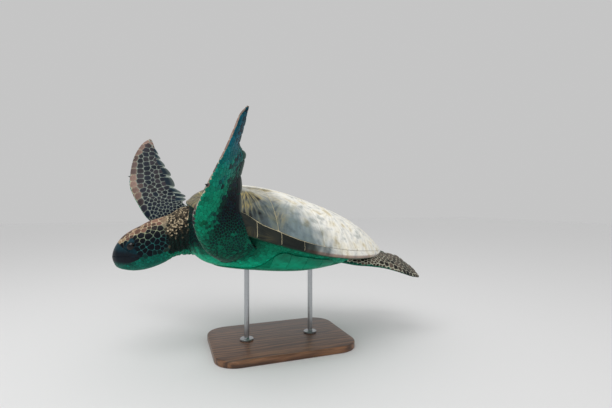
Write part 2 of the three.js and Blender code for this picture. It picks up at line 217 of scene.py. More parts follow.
ROUND = (0.87, 1.07, 0.14)     # how square, how full in front and how much thinner behind a section is
BLADE = (1, 1.35, 0.95)
MIRROR = np.array([1, -1, 1])
SMALL_STEP = 0.001             # share of the length over which a limb's direction is measured


class Limb:
    """A section carried along a leading and a trailing edge; up is the side that faces the sky."""

    def __init__(self, rows, section, up, mirror=1):
        self.lead = np.array([row[0] for row in rows]) * mirror
        self.trail = np.array([row[1] for row in rows]) * mirror
        self.thick = np.array([[row[2]] for row in rows])
        self.section = section
        self.up = up

    def at(self, t, share, side, inset=0.0):
        """Points at share t of the length and share of the width, on the +1 or the -1 side."""
        t, share, side = np.broadcast_arrays(*(np.asarray(v, float) for v in (t, share, side)))
        lead, trail = spline(self.lead, t), spline(self.trail, t)
        ahead = sum(unit(spline(edge, t + SMALL_STEP) - spline(edge, t - SMALL_STEP))
                    for edge in (self.lead, self.trail))
        chord = trail - lead
        out = unit(np.cross(ahead, chord))
        square, fore, drop = self.section
        bulge = (2 * np.sqrt(share * (1 - share))) ** square * (fore - drop * share)
        half = np.maximum(spline(self.thick, t)[..., 0] / 2 - inset, 0.5)
        edge = unit(chord) * (inset * (1 - 2 * share))[..., None]
        return lead + chord * share[..., None] + edge + out * (side * half * bulge)[..., None]


def unit(v):
    return v / np.maximum(np.linalg.norm(v, axis=-1, keepdims=True), 1e-9)


LIMBS = {
    "head": Limb(HEAD_AND_NECK, ROUND, 0),
    "front_left": Limb(FRONT_LEFT, BLADE, 1),
    "front_right": Limb(FRONT_RIGHT, BLADE, -1),
    "hind_left": Limb(HIND_LEFT, BLADE, 1),
    "hind_right": Limb(HIND_LEFT, BLADE, -1, MIRROR),
    "tail": Limb(TAIL, ROUND, 0),
}
LIMB_NAMES = list(LIMBS)
TRUNK = len(LIMB_NAMES)


def new_piece(name, points, faces):
    """A mesh object from points in the turtle's millimetres."""
    mesh = bpy.data.meshes.new(name)
    mesh.from_pydata(on_stand(points).tolist(), [], faces)
    piece = bpy.data.objects.new(name, mesh)
    bpy.context.scene.collection.objects.link(piece)
    return piece


def pick(*pieces):
    bpy.ops.object.select_all(action="DESELECT")
    for piece in pieces:
        piece.select_set(True)
    bpy.context.view_layer.objects.active = pieces[0]


def smooth(piece, angle):
    """Smooth shading, but for edges that are sharper than the angle."""
    pick(piece)
    bpy.ops.object.shade_smooth_by_angle(angle=radians(angle))


def points_of(piece):
    return off_stand([v.co for v in piece.data.vertices])


def move(piece, points):
    piece.data.vertices.foreach_set("co", on_stand(points).astype(np.float32).ravel())
    piece.data.update()


def face_outwards(piece):
    pick(piece)
    bpy.ops.object.mode_set(mode="EDIT")
    bpy.ops.mesh.select_all(action="SELECT")
    bpy.ops.mesh.normals_make_consistent(inside=False)
    bpy.ops.object.mode_set(mode="OBJECT")


def ring_walls(rings, count):
    """Quads between rings of count points each."""
    steps = [(r * count, k, (k + 1) % count) for r in range(rings - 1) for k in range(count)]
    return [(first + a, first + b, first + b + count, first + a + count) for first, a, b in steps]


def ring_faces(rings, count):
    """The same with one face over each end."""
    last = (rings - 1) * count
    return ring_walls(rings, count) + [tuple(range(count))[::-1], tuple(range(last, last + count))]


def body_of_rings(name, grid):
    piece = new_piece(name, grid.reshape(-1, 3), ring_faces(*grid.shape[:2]))
    face_outwards(piece)
    return piece


def finish_with(piece, kind, **settings):
    """Adds a modifier and applies it."""
    pick(piece)
    modifier = piece.modifiers.new(kind.lower(), kind)
    for key, value in settings.items():
        setattr(modifier, key, value)
    bpy.ops.object.modifier_apply(modifier=modifier.name)


SKIN_RINGS = 150               # along each limb
SKIN_ROUND = 72                # points round each ring
TRUNK_RINGS = 110
TRUNK_TOP = 2                  # the trunk's flat top lies this far above the rim, under the shell
turn = np.linspace(0, 2 * np.pi, SKIN_ROUND, endpoint=False)
around = (1 - np.cos(turn)) / 2
side_of_turn = np.where(turn < np.pi, 1, -1)

# where each patch of skin belongs: limb, share along, share across, side
chart_points = []
chart_places = []
flesh = []
for number, (name, limb) in enumerate(LIMBS.items()):
    along = np.linspace(0, 1, SKIN_RINGS)[:, None]
    grid = limb.at(along, around, side_of_turn, COAT)
    flesh.append(body_of_rings(name, grid))
    chart_points.append(grid.reshape(-1, 3))
    chart_places.append(stack(float(number), along, around, side_of_turn).reshape(-1, 4))

stations = crowded(TRUNK_RINGS) * 0.96 + 0.01
across = crowded_across(SKIN_ROUND)
underside = belly_point(stations[:, None], across[None], -0.006)
top_half = (flesh_share(stations) * shell_half_width(stations))[:, None] * np.array([0.97, 0, -0.97])
top_height = (rim_height(stations) + TRUNK_TOP)[:, None]
top = stack(((0.5 - stations) * SHELL_LENGTH)[:, None], top_half, top_height)
flesh.append(body_of_rings("trunk", np.concatenate([underside, top], 1)))
chart_points.append(underside.reshape(-1, 3))
chart_places.append(stack(float(TRUNK), stations[:, None], across[None], -1.0).reshape(-1, 4))

pick(*flesh)
bpy.ops.object.join()
skin = bpy.context.object
skin.name = skin.data.name = "skin"
finish_with(skin, "REMESH", mode="VOXEL", voxel_size=SKIN_GRAIN, use_smooth_shade=True)
finish_with(skin, "SMOOTH", factor=0.5, iterations=6)


def tree_of(points):
    """A search tree that finds the points near a place."""
    tree = KDTree(len(points))
    for index, point in enumerate(points):
        tree.insert(point, index)
    tree.balance()
    return tree


# where each point of the skin lies on the animal
chart = tree_of(np.concatenate(chart_points))
chart_places = np.concatenate(chart_places)


def places_of(points):
    """For each point: its limb, share along, share across and side."""
    return chart_places[[chart.find(point)[1] for point in points]]


def ease(value, low, high):
    p = np.clip((value - low) / (high - low), 0, 1)
    return p * p * (3 - 2 * p)


WAVE_WAYS = unit(np.random.default_rng(7).normal(size=(7, 3))) * 2 * np.pi
WAVE_GAIN = 1.6


def waves(points, size, seed=0.0):
    """Slow variation, mostly between -1 and 1 and alike on every run, over patches of about that size."""
    p = np.asarray(points) / size + seed
    total = 0
    for k, way in enumerate(WAVE_WAYS):
        total = total + np.sin(p @ way * (1 + 0.37 * k) + 1.7 * k)
    return total / len(WAVE_WAYS) * WAVE_GAIN


# folds of the neck, and lids round the eyes
OCCIPUT = np.array([336, 0, 58])
HEAD_FORWARD = np.array([0.974, 0, -0.225])
FOLD_DEPTH = 1.5
FOLD_SPACING = 12
FOLD_DRIFT = 5                 # how far a fold wanders along the neck
EYE = np.array([418, 33, 34])
EYE_RADIUS = 13
LID_REACH = 22                 # the lids' mound ends this far from the eye's middle
LID_THICKNESS = 1.3
LID_EDGE = (0.85, 1.25)        # from open eye to lid, in the measure of eye_opening
EYE_LOOK = unit(np.array([0.2, 1, 0.05]))
EYE_LONG = unit(np.array([-0.62, 0.12, 0.75]))
EYE_OPENING = (10.5, 7.6)      # half length and half height between the lids
EYE_BED = 4                    # the skin behind an eyeball lies this far inside it


def eye_opening(points, side):
    """A measure that is below 1 between the lids, and the distance from the eye's middle."""
    away = (points - EYE * (1, side, 1)) * (1, side, 1)
    far = np.linalg.norm(away, axis=-1)
    gaze = away / np.maximum(far, 1e-6)[:, None] * EYE_RADIUS
    high = np.cross(EYE_LOOK, EYE_LONG)
    almond = (gaze @ EYE_LONG / EYE_OPENING[0]) ** 2 + (gaze @ high / EYE_OPENING[1]) ** 2
    return np.where(gaze @ EYE_LOOK > 0, almond, 9.0), far


def read_skin():
    return points_of(skin), np.array([v.normal for v in skin.data.vertices]) @ ATTITUDE


points, normals = read_skin()
places = places_of(points)
ahead = (points - OCCIPUT) @ HEAD_FORWARD
behind_head = (places[:, 0] == LIMB_NAMES.index("head")) * ease(-ahead, -14, 6)
folded = behind_head * ease(places[:, 2], 0.1, 0.35) * ease(waves(points, 50, 2), -1.2, 0.6)
fold = np.sin(2 * np.pi * (ahead + FOLD_DRIFT * waves(points, 45)) / FOLD_SPACING) - 0.4
points = points + normals * (FOLD_DEPTH * folded * fold)[:, None]
for side in (1, -1):
    almond, far = eye_opening(points, side)
    outside = ease(almond, *LID_EDGE)
    mound = (1 - ease(far, EYE_RADIUS, LID_REACH)) * outside
    sunk = (1 - outside) * (far < LID_REACH)
    goal = far + mound * (EYE_RADIUS + LID_THICKNESS - far) + sunk * (EYE_RADIUS - EYE_BED - far)
    middle = EYE * (1, side, 1)
    points = middle + (points - middle) * (goal / np.maximum(far, 1e-6))[:, None]
move(skin, points)
finish_with(skin, "DECIMATE", ratio=SKIN_KEPT)


# ================================================================== beak
# Two sheaths of dark horn over the jaws, with the cutting edges shut. They grow out of the skin, so their
# rear edges are thin and soft. Each is cut from the head's own form by its outline seen from the side.
BEAK_PROUD = 0.3
MOUTH_GAP = 0.5
UPPER_BEAK = [(490, 2), (470, 3), (447, 5.5), (430, 8.5), (412, 10), (394, 9), (391, 11.5), (396, 15),
              (420, 19), (437, 28), (450, 38), (470, 43), (490, 44)]
LOWER_BEAK = [(490, 1), (470, 2), (447, 5), (430, 8), (412, 9.5), (399, 8), (397, 5), (402, 1), (424, -11),
              (444, -24), (465, -31), (490, -34)]
BEAK_START = 0.3               # the share of the head and neck that lies behind all of the beak
BEAK_GRAIN = 0.0008
SLAB_HALF_WIDTH = 70           # of the block in the outline's form that cuts a sheath out
NOSTRIL = (459, 6, 27)
NOSTRIL_RADIUS = 2.4
NOSTRIL_DEPTH = (1.8, 0, 0.6)


def paint(red, green, blue):
    """A colour as it is named on a paint chart, 0 to 255, in the light that the renderer counts."""
    c = np.array([red, green, blue]) / 255
    return np.where(c <= 0.04045, c / 12.92, ((c + 0.055) / 1.055) ** 2.4)


def mix(a, b, share):
    share = np.asarray(share)[..., None]
    return a * (1 - share) + b * share


def give_tint(mesh, colours):
    """One colour for each vertex, under the name that the materials read."""
    tint = mesh.attributes.new("tint", "FLOAT_COLOR", "POINT")
    values = np.ones((len(mesh.vertices), 4), np.float32)
    values[:, :3] = np.clip(colours, 0, 1)
    tint.data.foreach_set("color", values.ravel())


def new_material(name, roughness, shine=0.5):
    material = bpy.data.materials.new(name)
    material.use_nodes = True
    shader = material.node_tree.nodes["Principled BSDF"]
    shader.inputs["Roughness"].default_value = roughness
    shader.inputs["Specular IOR Level"].default_value = shine
    return material, shader


def add_node(material, kind, inputs=None, **settings):
    node = material.node_tree.nodes.new("ShaderNode" + kind)
    for key, value in settings.items():
        setattr(node, key, value)
    for key, value in (inputs or {}).items():
        if isinstance(value, bpy.types.NodeSocket):
            material.node_tree.links.new(value, node.inputs[key])
        else:
            node.inputs[key].default_value = value
    return node


def place_node(material):
    return add_node(material, "TexCoord").outputs["Object"]


def tint_node(material):
    return add_node(material, "Attribute", attribute_name="tint").outputs["Color"]


def noise_node(material, scale, detail=3.0, vector=None):
    inputs = {"Vector": vector or place_node(material), "Scale": scale, "Detail": detail}
    return add_node(material, "TexNoise", inputs).outputs["Fac"]


def spread(material, value, low, high, to_low, to_high):
    """A value stretched from one range to another."""
    inputs = {"Value": value, "From Min": low, "From Max": high, "To Min": to_low, "To Max": to_high}
    return add_node(material, "MapRange", inputs).outputs["Result"]


def times(material, colour, value):
    """A colour made darker or lighter by a value."""
    return add_node(material, "VectorMath", {0: colour, 1: value}, operation="MULTIPLY").outputs["Vector"]


def colour_from(material, shader, colour):
    material.node_tree.links.new(colour, shader.inputs["Base Color"])


def bump(material, shader, height, distance, strength=1.0):
    inputs = {"Height": height, "Distance": distance, "Strength": strength}
    out = add_node(material, "Bump", inputs).outputs["Normal"]
    material.node_tree.links.new(out, shader.inputs["Normal"])


def grain_place(material, scale):
    """Object coordinates drawn out along the grain: the lower the scale, the longer the streaks."""
    return add_node(material, "Mapping", {"Vector": place_node(material), "Scale": scale}).outputs[0]


BEAK_BLACK = paint(4, 15, 25)
BEAK_TEAL = paint(8, 44, 54)
BEAK_GREEN = paint(10, 84, 74)
beak_horn, shader = new_material("beak_horn", 0.34, 0.16)
grain = noise_node(beak_horn, 1, 4, grain_place(beak_horn, (420, 420, 70)))
streaked = times(beak_horn, tint_node(beak_horn), spread(beak_horn, grain, 0.3, 0.7, 0.6, 1.5))
colour_from(beak_horn, shader, streaked)
bump(beak_horn, shader, grain, 0.0002, 0.5)


def beak(name, outline, shift, node, low_colour, low_heights):
    """One sheath, black at the tip's height and going over to its low colour between two heights."""
    edge = spline([(x, 0, z + shift) for x, z in outline], np.linspace(0, 1, 60))
    slab = body_of_rings("slab", np.stack([edge + (0, y, 0) for y in (-SLAB_HALF_WIDTH, SLAB_HALF_WIDTH)]))
    t = np.linspace(BEAK_START, 1, 160)[:, None]
    piece = body_of_rings(name, LIMBS["head"].at(t, around, side_of_turn, -BEAK_PROUD))
    finish_with(piece, "BOOLEAN", object=slab, operation="INTERSECT", solver="EXACT")
    bpy.data.objects.remove(slab)
    finish_with(piece, "REMESH", mode="VOXEL", voxel_size=BEAK_GRAIN, use_smooth_shade=True)
    finish_with(piece, "SMOOTH", factor=0.5, iterations=5)
    surface = points_of(piece)
    from_nostril = np.minimum(*(np.linalg.norm(surface - NOSTRIL * np.array([1, side, 1]), axis=1)
                                for side in (1, -1)))
    pit = 1 - ease(from_nostril, 0.4 * NOSTRIL_RADIUS, 1.5 * NOSTRIL_RADIUS)
    surface = surface - pit[:, None] * NOSTRIL_DEPTH
    move(piece, surface)
    colour = mix(BEAK_BLACK, low_colour, ease(surface[:, 2], *low_heights))
    # the nostrils are darkened in colour: painted shade in their pits
    give_tint(piece.data, colour * (1 - 0.8 * pit)[:, None])
    piece.data.materials.append(beak_horn)
    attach(piece, "root")
    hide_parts(node)
    return piece


upper_beak = beak("beak_upper", UPPER_BEAK, 0, "upper_beak", BEAK_TEAL, (12, 28))
# the lower sheath's green underneath is partly the water's light, painted in
lower_beak = beak("beak_lower", LOWER_BEAK, -MOUTH_GAP, "lower_beak", BEAK_GREEN, (-6, -20))


# ================================================================== colours of the coat
# Horn and cream joints above, the crown paler with painted sunlight; sea green below, partly the water's
# green light painted in. Every scale has one colour of its own, and the skin that shows between the scales
# is the pale or green line round them.
CREAM = paint(196, 182, 152)
CROWN_TAN = paint(158, 136, 110)
CROWN_BROWN = paint(80, 62, 52)
BLUSH = paint(134, 98, 84)
HEAD_SHIELD = paint(6, 13, 22)
HEAD_LINE = paint(142, 150, 122)
CHEEK_LINE = paint(40, 96, 94)
LID_TEAL = paint(10, 46, 56)
JAW_GREEN = paint(5, 112, 94)
JAW_LINE = paint(4, 48, 46)
NECK_TAN = paint(182, 165, 136)
NECK_BROWN = paint(86, 76, 60)
NECK_DARK = paint(14, 20, 20)
# the greens of the underside, here and on the jaw, are partly the water's green light painted into their
# own colour
SEA_GREEN = paint(4, 137, 104)
LEAF_GREEN = paint(4, 98, 68)
DEEP_GREEN = paint(2, 62, 52)
BELLY_LIGHT = paint(12, 172, 132)
# painted shade: the black of the armpits and of the trunk's skin in front
ARMPIT_SHADE = paint(5, 18, 24)
BLADE_SCALE = paint(8, 24, 40)
BLADE_LINE = paint(140, 150, 140)
# pale pinkish edge scales: their own paler colour, with a painted sunlit highlight
BLADE_EDGE = paint(138, 114, 104)
# painted light: the water's blue, toward the flipper tips
TEAL = paint(5, 92, 110)
HIND_SCALE = paint(96, 84, 74)
HIND_LINE = paint(176, 174, 156)


def some(share, chance):
    """One for about that share of the scales, and a value between where the choice is close."""
    return ease(share - chance, -0.04, 0.04)


# under a front flipper: how far across the armpit's black begins, and what share of the scales it takes;
# the black is painted shade
pit_border = profile([[0, -0.1], [0.18, -0.05], [0.25, 0.14], [0.3, 0.3], [0.38, 0.42], [0.45, 0.5],
                      [0.65, 0.64], [1, 0.7]])
pit_depth = profile([[0, 0.72], [0.2, 0.72], [0.3, 1], [0.48, 1], [0.62, 0.5], [0.75, 0.2], [1, 0.15]])

# where one colour gives way to the next. Down the head and neck, as shares of the way from crown to throat:
CROWN_END = (0.1, 0.16)
CHEEK_START = (0.2, 0.42)
NAPE_END = (0.22, 0.72)
THROAT_START = (0.66, 0.76)
NECK_END = (-6, 12)            # ahead of the occiput, in millimetres
# along a front flipper, and across it from its leading edge, as shares:
SHOULDER_END = (0.1, 0.24)
ELBOW_END = (0.1, 0.34)
BLADE_START = (0.3, 0.5)
BLUE_START = (0.4, 0.8)
TIP_START = (0.88, 0.97)
EDGE_ROW_END = (0.1, 0.17)
PIT_SOFTNESS = (-0.26, 0.16)
# on the trunk, in millimetres ahead of mid-shell and above the belly's level:
FORE_SKIN = (90, 190)
FLANK_START = (20, 50)
RIM_SHADE_START = (44, 66)
# round an eye, in the measure of eye_opening, and round the beak, in millimetres from it:
BARE_LID_END = (2.3, 2.9)
BEAK_RIM_END = (0.8, 2.4)


def flank_green(points):
    """Paler on the belly with painted light, deeper up the flank with painted shade under the shell's rim.
    """
    height = points[:, 2] + 12 * waves(points, 60)
    # painted shade: a darker green up under the shell's overhang
    rim_shade = 0.35 * ease(height + 14 * waves(points, 17, 3.0), *RIM_SHADE_START)
    return mix(mix(BELLY_LIGHT, SEA_GREEN, ease(height, *FLANK_START)), LEAF_GREEN, rim_shade)


def coat_at(points, places, chance):
    """The skin's colour, the scales' colour, the scales' pitch and the width of the line between them."""
    limb, t, share, side = places.T
    limb = limb.astype(int)
    line = np.tile(SEA_GREEN, (len(points), 1))
    scale = np.tile(SEA_GREEN, (len(points), 1))
    pitch = np.zeros(len(points))
    gap = np.zeros(len(points))
    drift = waves(points, 60)
    fleck = waves(points, 17, 3.0)

    # head: a crown of brown, pink and tan, paler with painted sunlight; dark shields on the cheeks; a green
    # jaw
    on = limb == LIMB_NAMES.index("head")
    ahead = (points - OCCIPUT) @ HEAD_FORWARD
    head = ease(ahead, *NECK_END)
    crown = 1 - ease(share + 0.02 * fleck, *CROWN_END)
    throat = ease(share + 0.03 * drift - 0.1 * ease(ahead, 70, 110) - 0.13 * (1 - head), *THROAT_START)
    side_scale = mix(HEAD_SHIELD, JAW_GREEN, throat)
    side_line = mix(mix(HEAD_LINE, CHEEK_LINE, ease(share, *CHEEK_START)), JAW_LINE, throat)
    # painted sunlight: the crown's scales and lines are paler and pinker than the sides of the head
    sunlit_crown = mix(mix(CROWN_BROWN, BLUSH, ease(chance, 0, 0.5)), CROWN_TAN, ease(chance, 0.4, 1))
    head_scale = mix(side_scale, sunlit_crown, crown)
    head_line = mix(side_line, CREAM, crown)

    # neck: specks of tan, brown and black above, dark folds at the sides, green beneath
    nape = 1 - ease(share + 0.06 * fleck, *NAPE_END)
    specks = mix(mix(NECK_DARK, NECK_BROWN, some(0.72 * nape, chance)), NECK_TAN, some(0.4 * nape, chance))
    neck_scale = mix(specks, mix(DEEP_GREEN, SEA_GREEN, ease(throat, 0.6, 1)), throat)
    greenish = np.maximum(throat, 0.4 * (1 - nape))
    neck_line = mix(mix(NECK_DARK, NECK_BROWN, 0.3 * nape), DEEP_GREEN, greenish)
    scale[on] = mix(neck_scale, head_scale, head)[on]
    line[on] = mix(neck_line, head_line, head)[on]
    pitch[on] = (5.0 - 1.1 * nape + 6.6 * head - 5 * throat * head)[on]
    gap[on] = (0.6 + 0.3 * head * (1 - throat))[on]

    # round the eyes: bare lids of one colour
    lids = np.minimum(*(np.where(far < LID_REACH, almond, 9)
                        for almond, far in (eye_opening(points, way) for way in (1, -1))))
    bare = on & (lids < 9)
    round_eye = (1 - ease(lids, *BARE_LID_END))[bare]
    line[bare] = mix(line[bare], LID_TEAL, round_eye)
    scale[bare] = mix(scale[bare], LID_TEAL, round_eye)

    # front flippers: dark plates above, and below green leather, the green partly the water's light painted
    # in
    for name in ("front_left", "front_right"):
        on = limb == LIMB_NAMES.index(name)
        above = side == LIMBS[name].up
        far = ease(t, *BLADE_START)
        edge = (1 - ease(share + 0.03 * fleck, *EDGE_ROW_END)) * far
        shoulder = 1 - ease(t + 0.05 * fleck, *SHOULDER_END)
        # the leading edge paler and pinkish: the edge scales' own colour with a painted sunlit highlight
        pale = np.maximum(edge * (0.45 + 0.5 * some(0.65, chance)), 0.9 * ease(t, *TIP_START))
        pale = np.maximum(pale, 0.12 * chance * far)
        pale = np.maximum(pale, 0.5 * some(0.3, chance) * (1 - ease(share, 0.2, 0.4)) * far)
        top = mix(mix(BLADE_SCALE, BLADE_EDGE, pale), NECK_DARK, shoulder)
        top_line = mix(mix(BLADE_LINE, CREAM, 0.6 * edge), NECK_DARK, 0.8 * shoulder)

        # the armpit's black, painted shade; the water's blue light painted toward the tip; and single dark
        # scales
        pit = ease(share - pit_border(t), *PIT_SOFTNESS) * pit_depth(t)
        pit = 0.65 * pit + 0.35 * some(pit + 0.1 * fleck, 0.12 + 0.76 * chance)
        elbow = (1 - ease(t + 0.04 * fleck, *ELBOW_END)) * (1 - pit)
        # painted light: the water's blue, toward the tip
        blue = ease(t + 0.05 * drift, *BLUE_START)
        green = mix(SEA_GREEN, LEAF_GREEN, ease(drift + 0.6 * fleck, 0.1, 1.1))
        leather = mix(mix(green, TEAL, blue), BLADE_SCALE, 0.4 * ease(t, 0.74, 0.95))
        dark_share = 0.12 + 0.3 * ease(fleck, -0.2, 0.7) + 0.2 * share
        spots = (0.6 + 0.4 * far) * ease(share, 0.1, 0.3) * some(dark_share, chance)
        under = mix(mix(leather, ARMPIT_SHADE, pit), BLADE_SCALE, 0.85 * spots)
        pit_line = mix(mix(ARMPIT_SHADE, DEEP_GREEN, 0.75), SEA_GREEN, 0.5 * (1 - ease(t, 0.2, 0.4)))
        under_line = mix(mix(under * 0.6, ARMPIT_SHADE, 0.75 * elbow), pit_line, pit)
        scale[on] = np.where(above[:, None], top, under)[on]
        line[on] = np.where(above[:, None], top_line, under_line)[on]
        pitch[on] = np.where(above, 9.5 + 3.5 * far, 5.6 + 3.2 * far * (1 - pit))[on]
        gap[on] = np.where(above, 0.8 + 0.2 * far, 0.7 - 0.2 * pit)[on]

    # hind flippers and tail: olive grey with a cream net
    for name in ("hind_left", "hind_right", "tail"):
        on = limb == LIMB_NAMES.index(name)
        above = (side == LIMBS[name].up) | ((name == "tail") & (share < 0.5))
        dark = np.clip(0.25 + 0.6 * some(0.45, chance) + 0.2 * fleck, 0, 1)
        scale[on] = np.where(above[:, None], mix(HIND_SCALE, NECK_DARK, dark), DEEP_GREEN)[on]
        line[on] = np.where(above[:, None], HIND_LINE, SEA_GREEN)[on]
        pitch[on] = 6.0 if name == "tail" else 10.0
        gap[on] = np.where(above, 1.2, 0.8)[on]

    # the soft skin round the shell: granular, with black painted shade in front between neck, flipper and
    # shell, and green below
    on = limb == TRUNK
    front = ease(points[:, 0], *FORE_SKIN)
    dark = front * (1 - ease(-points[:, 2] - 12 * drift, -62, -20))
    scale[on] = mix(flank_green(points), ARMPIT_SHADE, dark)[on]
    line[on] = mix(scale * 0.75, DEEP_GREEN, dark)[on]
    pitch[on] = (9.5 - 2.5 * front)[on]
    gap[on] = 0.7

    # a dark rim where the skin meets the beak
    to_beak = np.array([beak_surface.find_nearest(point)[3] for point in points])
    line = mix(line, BEAK_BLACK, 1 - ease(to_beak, *BEAK_RIM_END))
    return line, scale, pitch, gap


def surface_of(points, *pieces):
    """A search tree that finds the nearest place on the faces of pieces, given all their points."""
    faces = []
    first = 0
    for piece in pieces:
        faces += [[v + first for v in face.vertices] for face in piece.data.polygons]
        first += len(piece.data.vertices)
    return BVHTree.FromPolygons(np.asarray(points).tolist(), faces)


beak_points = np.concatenate([points_of(upper_beak), points_of(lower_beak)])
beak_surface = surface_of(beak_points, upper_beak, lower_beak)
skin_mesh = skin.data
skin_points, skin_normals = read_skin()
skin_places = places_of(skin_points)
skin_line, _, skin_pitch, _ = coat_at(skin_points, skin_places, 0.5)
skin_surface = surface_of(skin_points, skin)

skin_leather, shader = new_material("skin_leather", 0.6, 0.09)
mottle = spread(skin_leather, noise_node(skin_leather, 180, 4), 0.3, 0.7, 0.8, 1.2)
colour_from(skin_leather, shader, times(skin_leather, tint_node(skin_leather), mottle))
bump(skin_leather, shader, noise_node(skin_leather, 700, 3), 0.0004, 0.6)

give_tint(skin_mesh, skin_line)
skin_mesh.materials.clear()
skin_mesh.materials.append(skin_leather)
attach(skin, "root")
FLESH_NODES = ["head", "neck", "trunk", "tail", "front_flipper_left_arm", "front_flipper_left_blade",
               "front_flipper_right_arm", "front_flipper_right_blade", "hind_flipper_left",
               "hind_flipper_right"]
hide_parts(*FLESH_NODES)


# ================================================================== scales
# Small plates of horn, each rooted in the skin, flat and edge to edge. Seeds are laid one by one where the
# animal has rows or shields. Between them the rest are sown as far apart as the scales there are wide.
LIFT = 5                       # seeds are compared this far off the skin, so the two faces of a blade part
BEAK_CLEAR = 1.6               # no scale is rooted nearer to the beak
LID_CLEAR = 2.2                # nor further in on the lids, in the measure of eye_opening
LAID_ROOM = 0.8                # share of its size that a laid scale keeps clear of sown ones
SOWN_ROOM = 0.86               # and that a sown one keeps clear of others
dice = np.random.default_rng(11)

# where each lobe of a flipper's rear edge begins and ends; the other scales keep clear of the lobes
FRONT_LOBES = [0.34, 0.44, 0.53, 0.61, 0.68, 0.745, 0.805, 0.865, 0.93]
HIND_LOBES = [0.42, 0.52, 0.61, 0.69, 0.77, 0.85, 0.93]
LOBE_ROOT = 0.84               # share of the width where a lobe starts
LOBED = {"front_left": FRONT_LOBES, "front_right": FRONT_LOBES,
         "hind_left": HIND_LOBES, "hind_right": HIND_LOBES}


def row_of_seeds(limb, share, side, start, end, pitch, shift=0.0):
    """Seeds at equal steps along a flipper, at one share of its width."""
    t = np.linspace(start, end, 200)
    steps = np.linalg.norm(np.diff(limb.at(t, share, side), axis=0), axis=1)
    run = np.concatenate([[0], np.cumsum(steps)])
    count = max(int(run[-1] / pitch), 1)
    at = np.interp((np.arange(count) + 0.5 + shift) / count * run[-1], run, t)
    return [(limb.at(place, share, side, COAT), pitch) for place in at]


# shields of the head: share along the head and neck, share down from the crown, and size. On the crown lie
# one long pair behind the beak, a small one behind it, one over each eye and a wide one in the middle.
HEAD_SHIELDS = [
    (0.70, 0.009, 18), (0.59, 0, 13), (0.565, 0.07, 16), (0.485, 0, 20), (0.41, 0.022, 17),
    (0.335, 0.06, 14), (0.66, 0.075, 10), (0.745, 0.09, 8), (0.539, 0.19, 14), (0.469, 0.27, 15),
    (0.398, 0.298, 14), (0.356, 0.445, 12), (0.366, 0.195, 13), (0.42, 0.15, 13), (0.505, 0.105, 14),
    (0.53, 0.31, 12), (0.536, 0.435, 13), (0.555, 0.56, 14), (0.484, 0.409, 12), (0.439, 0.38, 11),
    (0.405, 0.455, 12), (0.462, 0.508, 13), (0.404, 0.57, 13), (0.479, 0.622, 14), (0.398, 0.682, 12),
    (0.343, 0.612, 11), (0.68, 0.2, 12), (0.74, 0.25, 10), (0.61, 0.19, 12), (0.64, 0.55, 12),
    (0.69, 0.5, 10), (0.62, 0.66, 14),
]
# rows of a front flipper's blade: share across, where the row starts and ends, and length of a scale
BLADE_ROWS = [(0.07, 0.3, 0.97, 23), (0.25, 0.42, 0.95, 17), (0.45, 0.44, 0.93, 17), (0.66, 0.46, 0.9, 16)]
HIND_ROWS = [(0.07, 0.35, 0.97, 16), (0.27, 0.4, 0.92, 14), (0.47, 0.45, 0.9, 13), (0.67, 0.5, 0.86, 13)]
ROWS = {"front_left": BLADE_ROWS, "front_right": BLADE_ROWS,
        "hind_left": HIND_ROWS, "hind_right": HIND_ROWS}

laid = []
for t, share, size in HEAD_SHIELDS:
    for side in ((1, -1) if share > 0 else (1,)):
        laid.append((LIMBS["head"].at(t, share, side, COAT), size))
for name, rows in ROWS.items():
    for number, (share, start, end, size) in enumerate(rows):
        laid += row_of_seeds(LIMBS[name], share, LIMBS[name].up, start, end, size, 0.25 * (number % 2))


lifted = tree_of(skin_points + LIFT * skin_normals)

# no scale under the shell, on the beak, between the lids or on a lobe
station_of = np.clip(0.5 - skin_points[:, 0] / SHELL_LENGTH, 0.02, 0.98)
inside_length = np.abs(skin_points[:, 0]) < 0.48 * SHELL_LENGTH
under_shell = inside_length & (skin_points[:, 2] > rim_height(station_of) - 4)
taken = under_shell & (np.abs(skin_points[:, 1]) < shell_half_width(station_of) - 3)
for index in np.flatnonzero(skin_points[:, 0] > 380):
    taken[index] |= beak_surface.find_nearest(skin_points[index], BEAK_CLEAR)[0] is not None
for side in (1, -1):
    almond, far = eye_opening(skin_points, side)
    taken |= (almond < LID_CLEAR) & (far < LID_REACH)
limb, t, share, _ = skin_places.T
for name, bounds in LOBED.items():
    on_edge = (limb == LIMB_NAMES.index(name)) & (share > LOBE_ROOT - 0.04)
    taken |= on_edge & (t > bounds[0]) & (t < bounds[-1])

seed_points, seed_normals, seed_pitches = [], [], []


def root_a_scale(point, normal, size, room):
    """Takes the place for a scale, and keeps others out of the room round it."""
    seed_points.append(point)
    seed_normals.append(normal)
    seed_pitches.append(size)
    for _, index, _ in lifted.find_range(np.array(point) + LIFT * np.array(normal), size * room):
        taken[index] = True


for point, size in laid:
    where, normal, *_ = skin_surface.find_nearest(point)
    if not taken[lifted.find(np.array(where) + LIFT * np.array(normal))[1]]:
        root_a_scale(where, normal, size, LAID_ROOM)
for index in dice.permutation(len(skin_points)):
    if not taken[index]:
        root_a_scale(skin_points[index], skin_normals[index], skin_pitch[index], SOWN_ROOM)
seed_points, seed_normals = np.array(seed_points), unit(np.array(seed_normals))
seed_pitches = np.array(seed_pitches)

NEIGHBOURS = 14
CORNER_SHARPNESS = 26
LEAST_REACH = 0.4
NO_BOUND = 1e6
SINK = 0.6                     # how deep a scale's foot is rooted
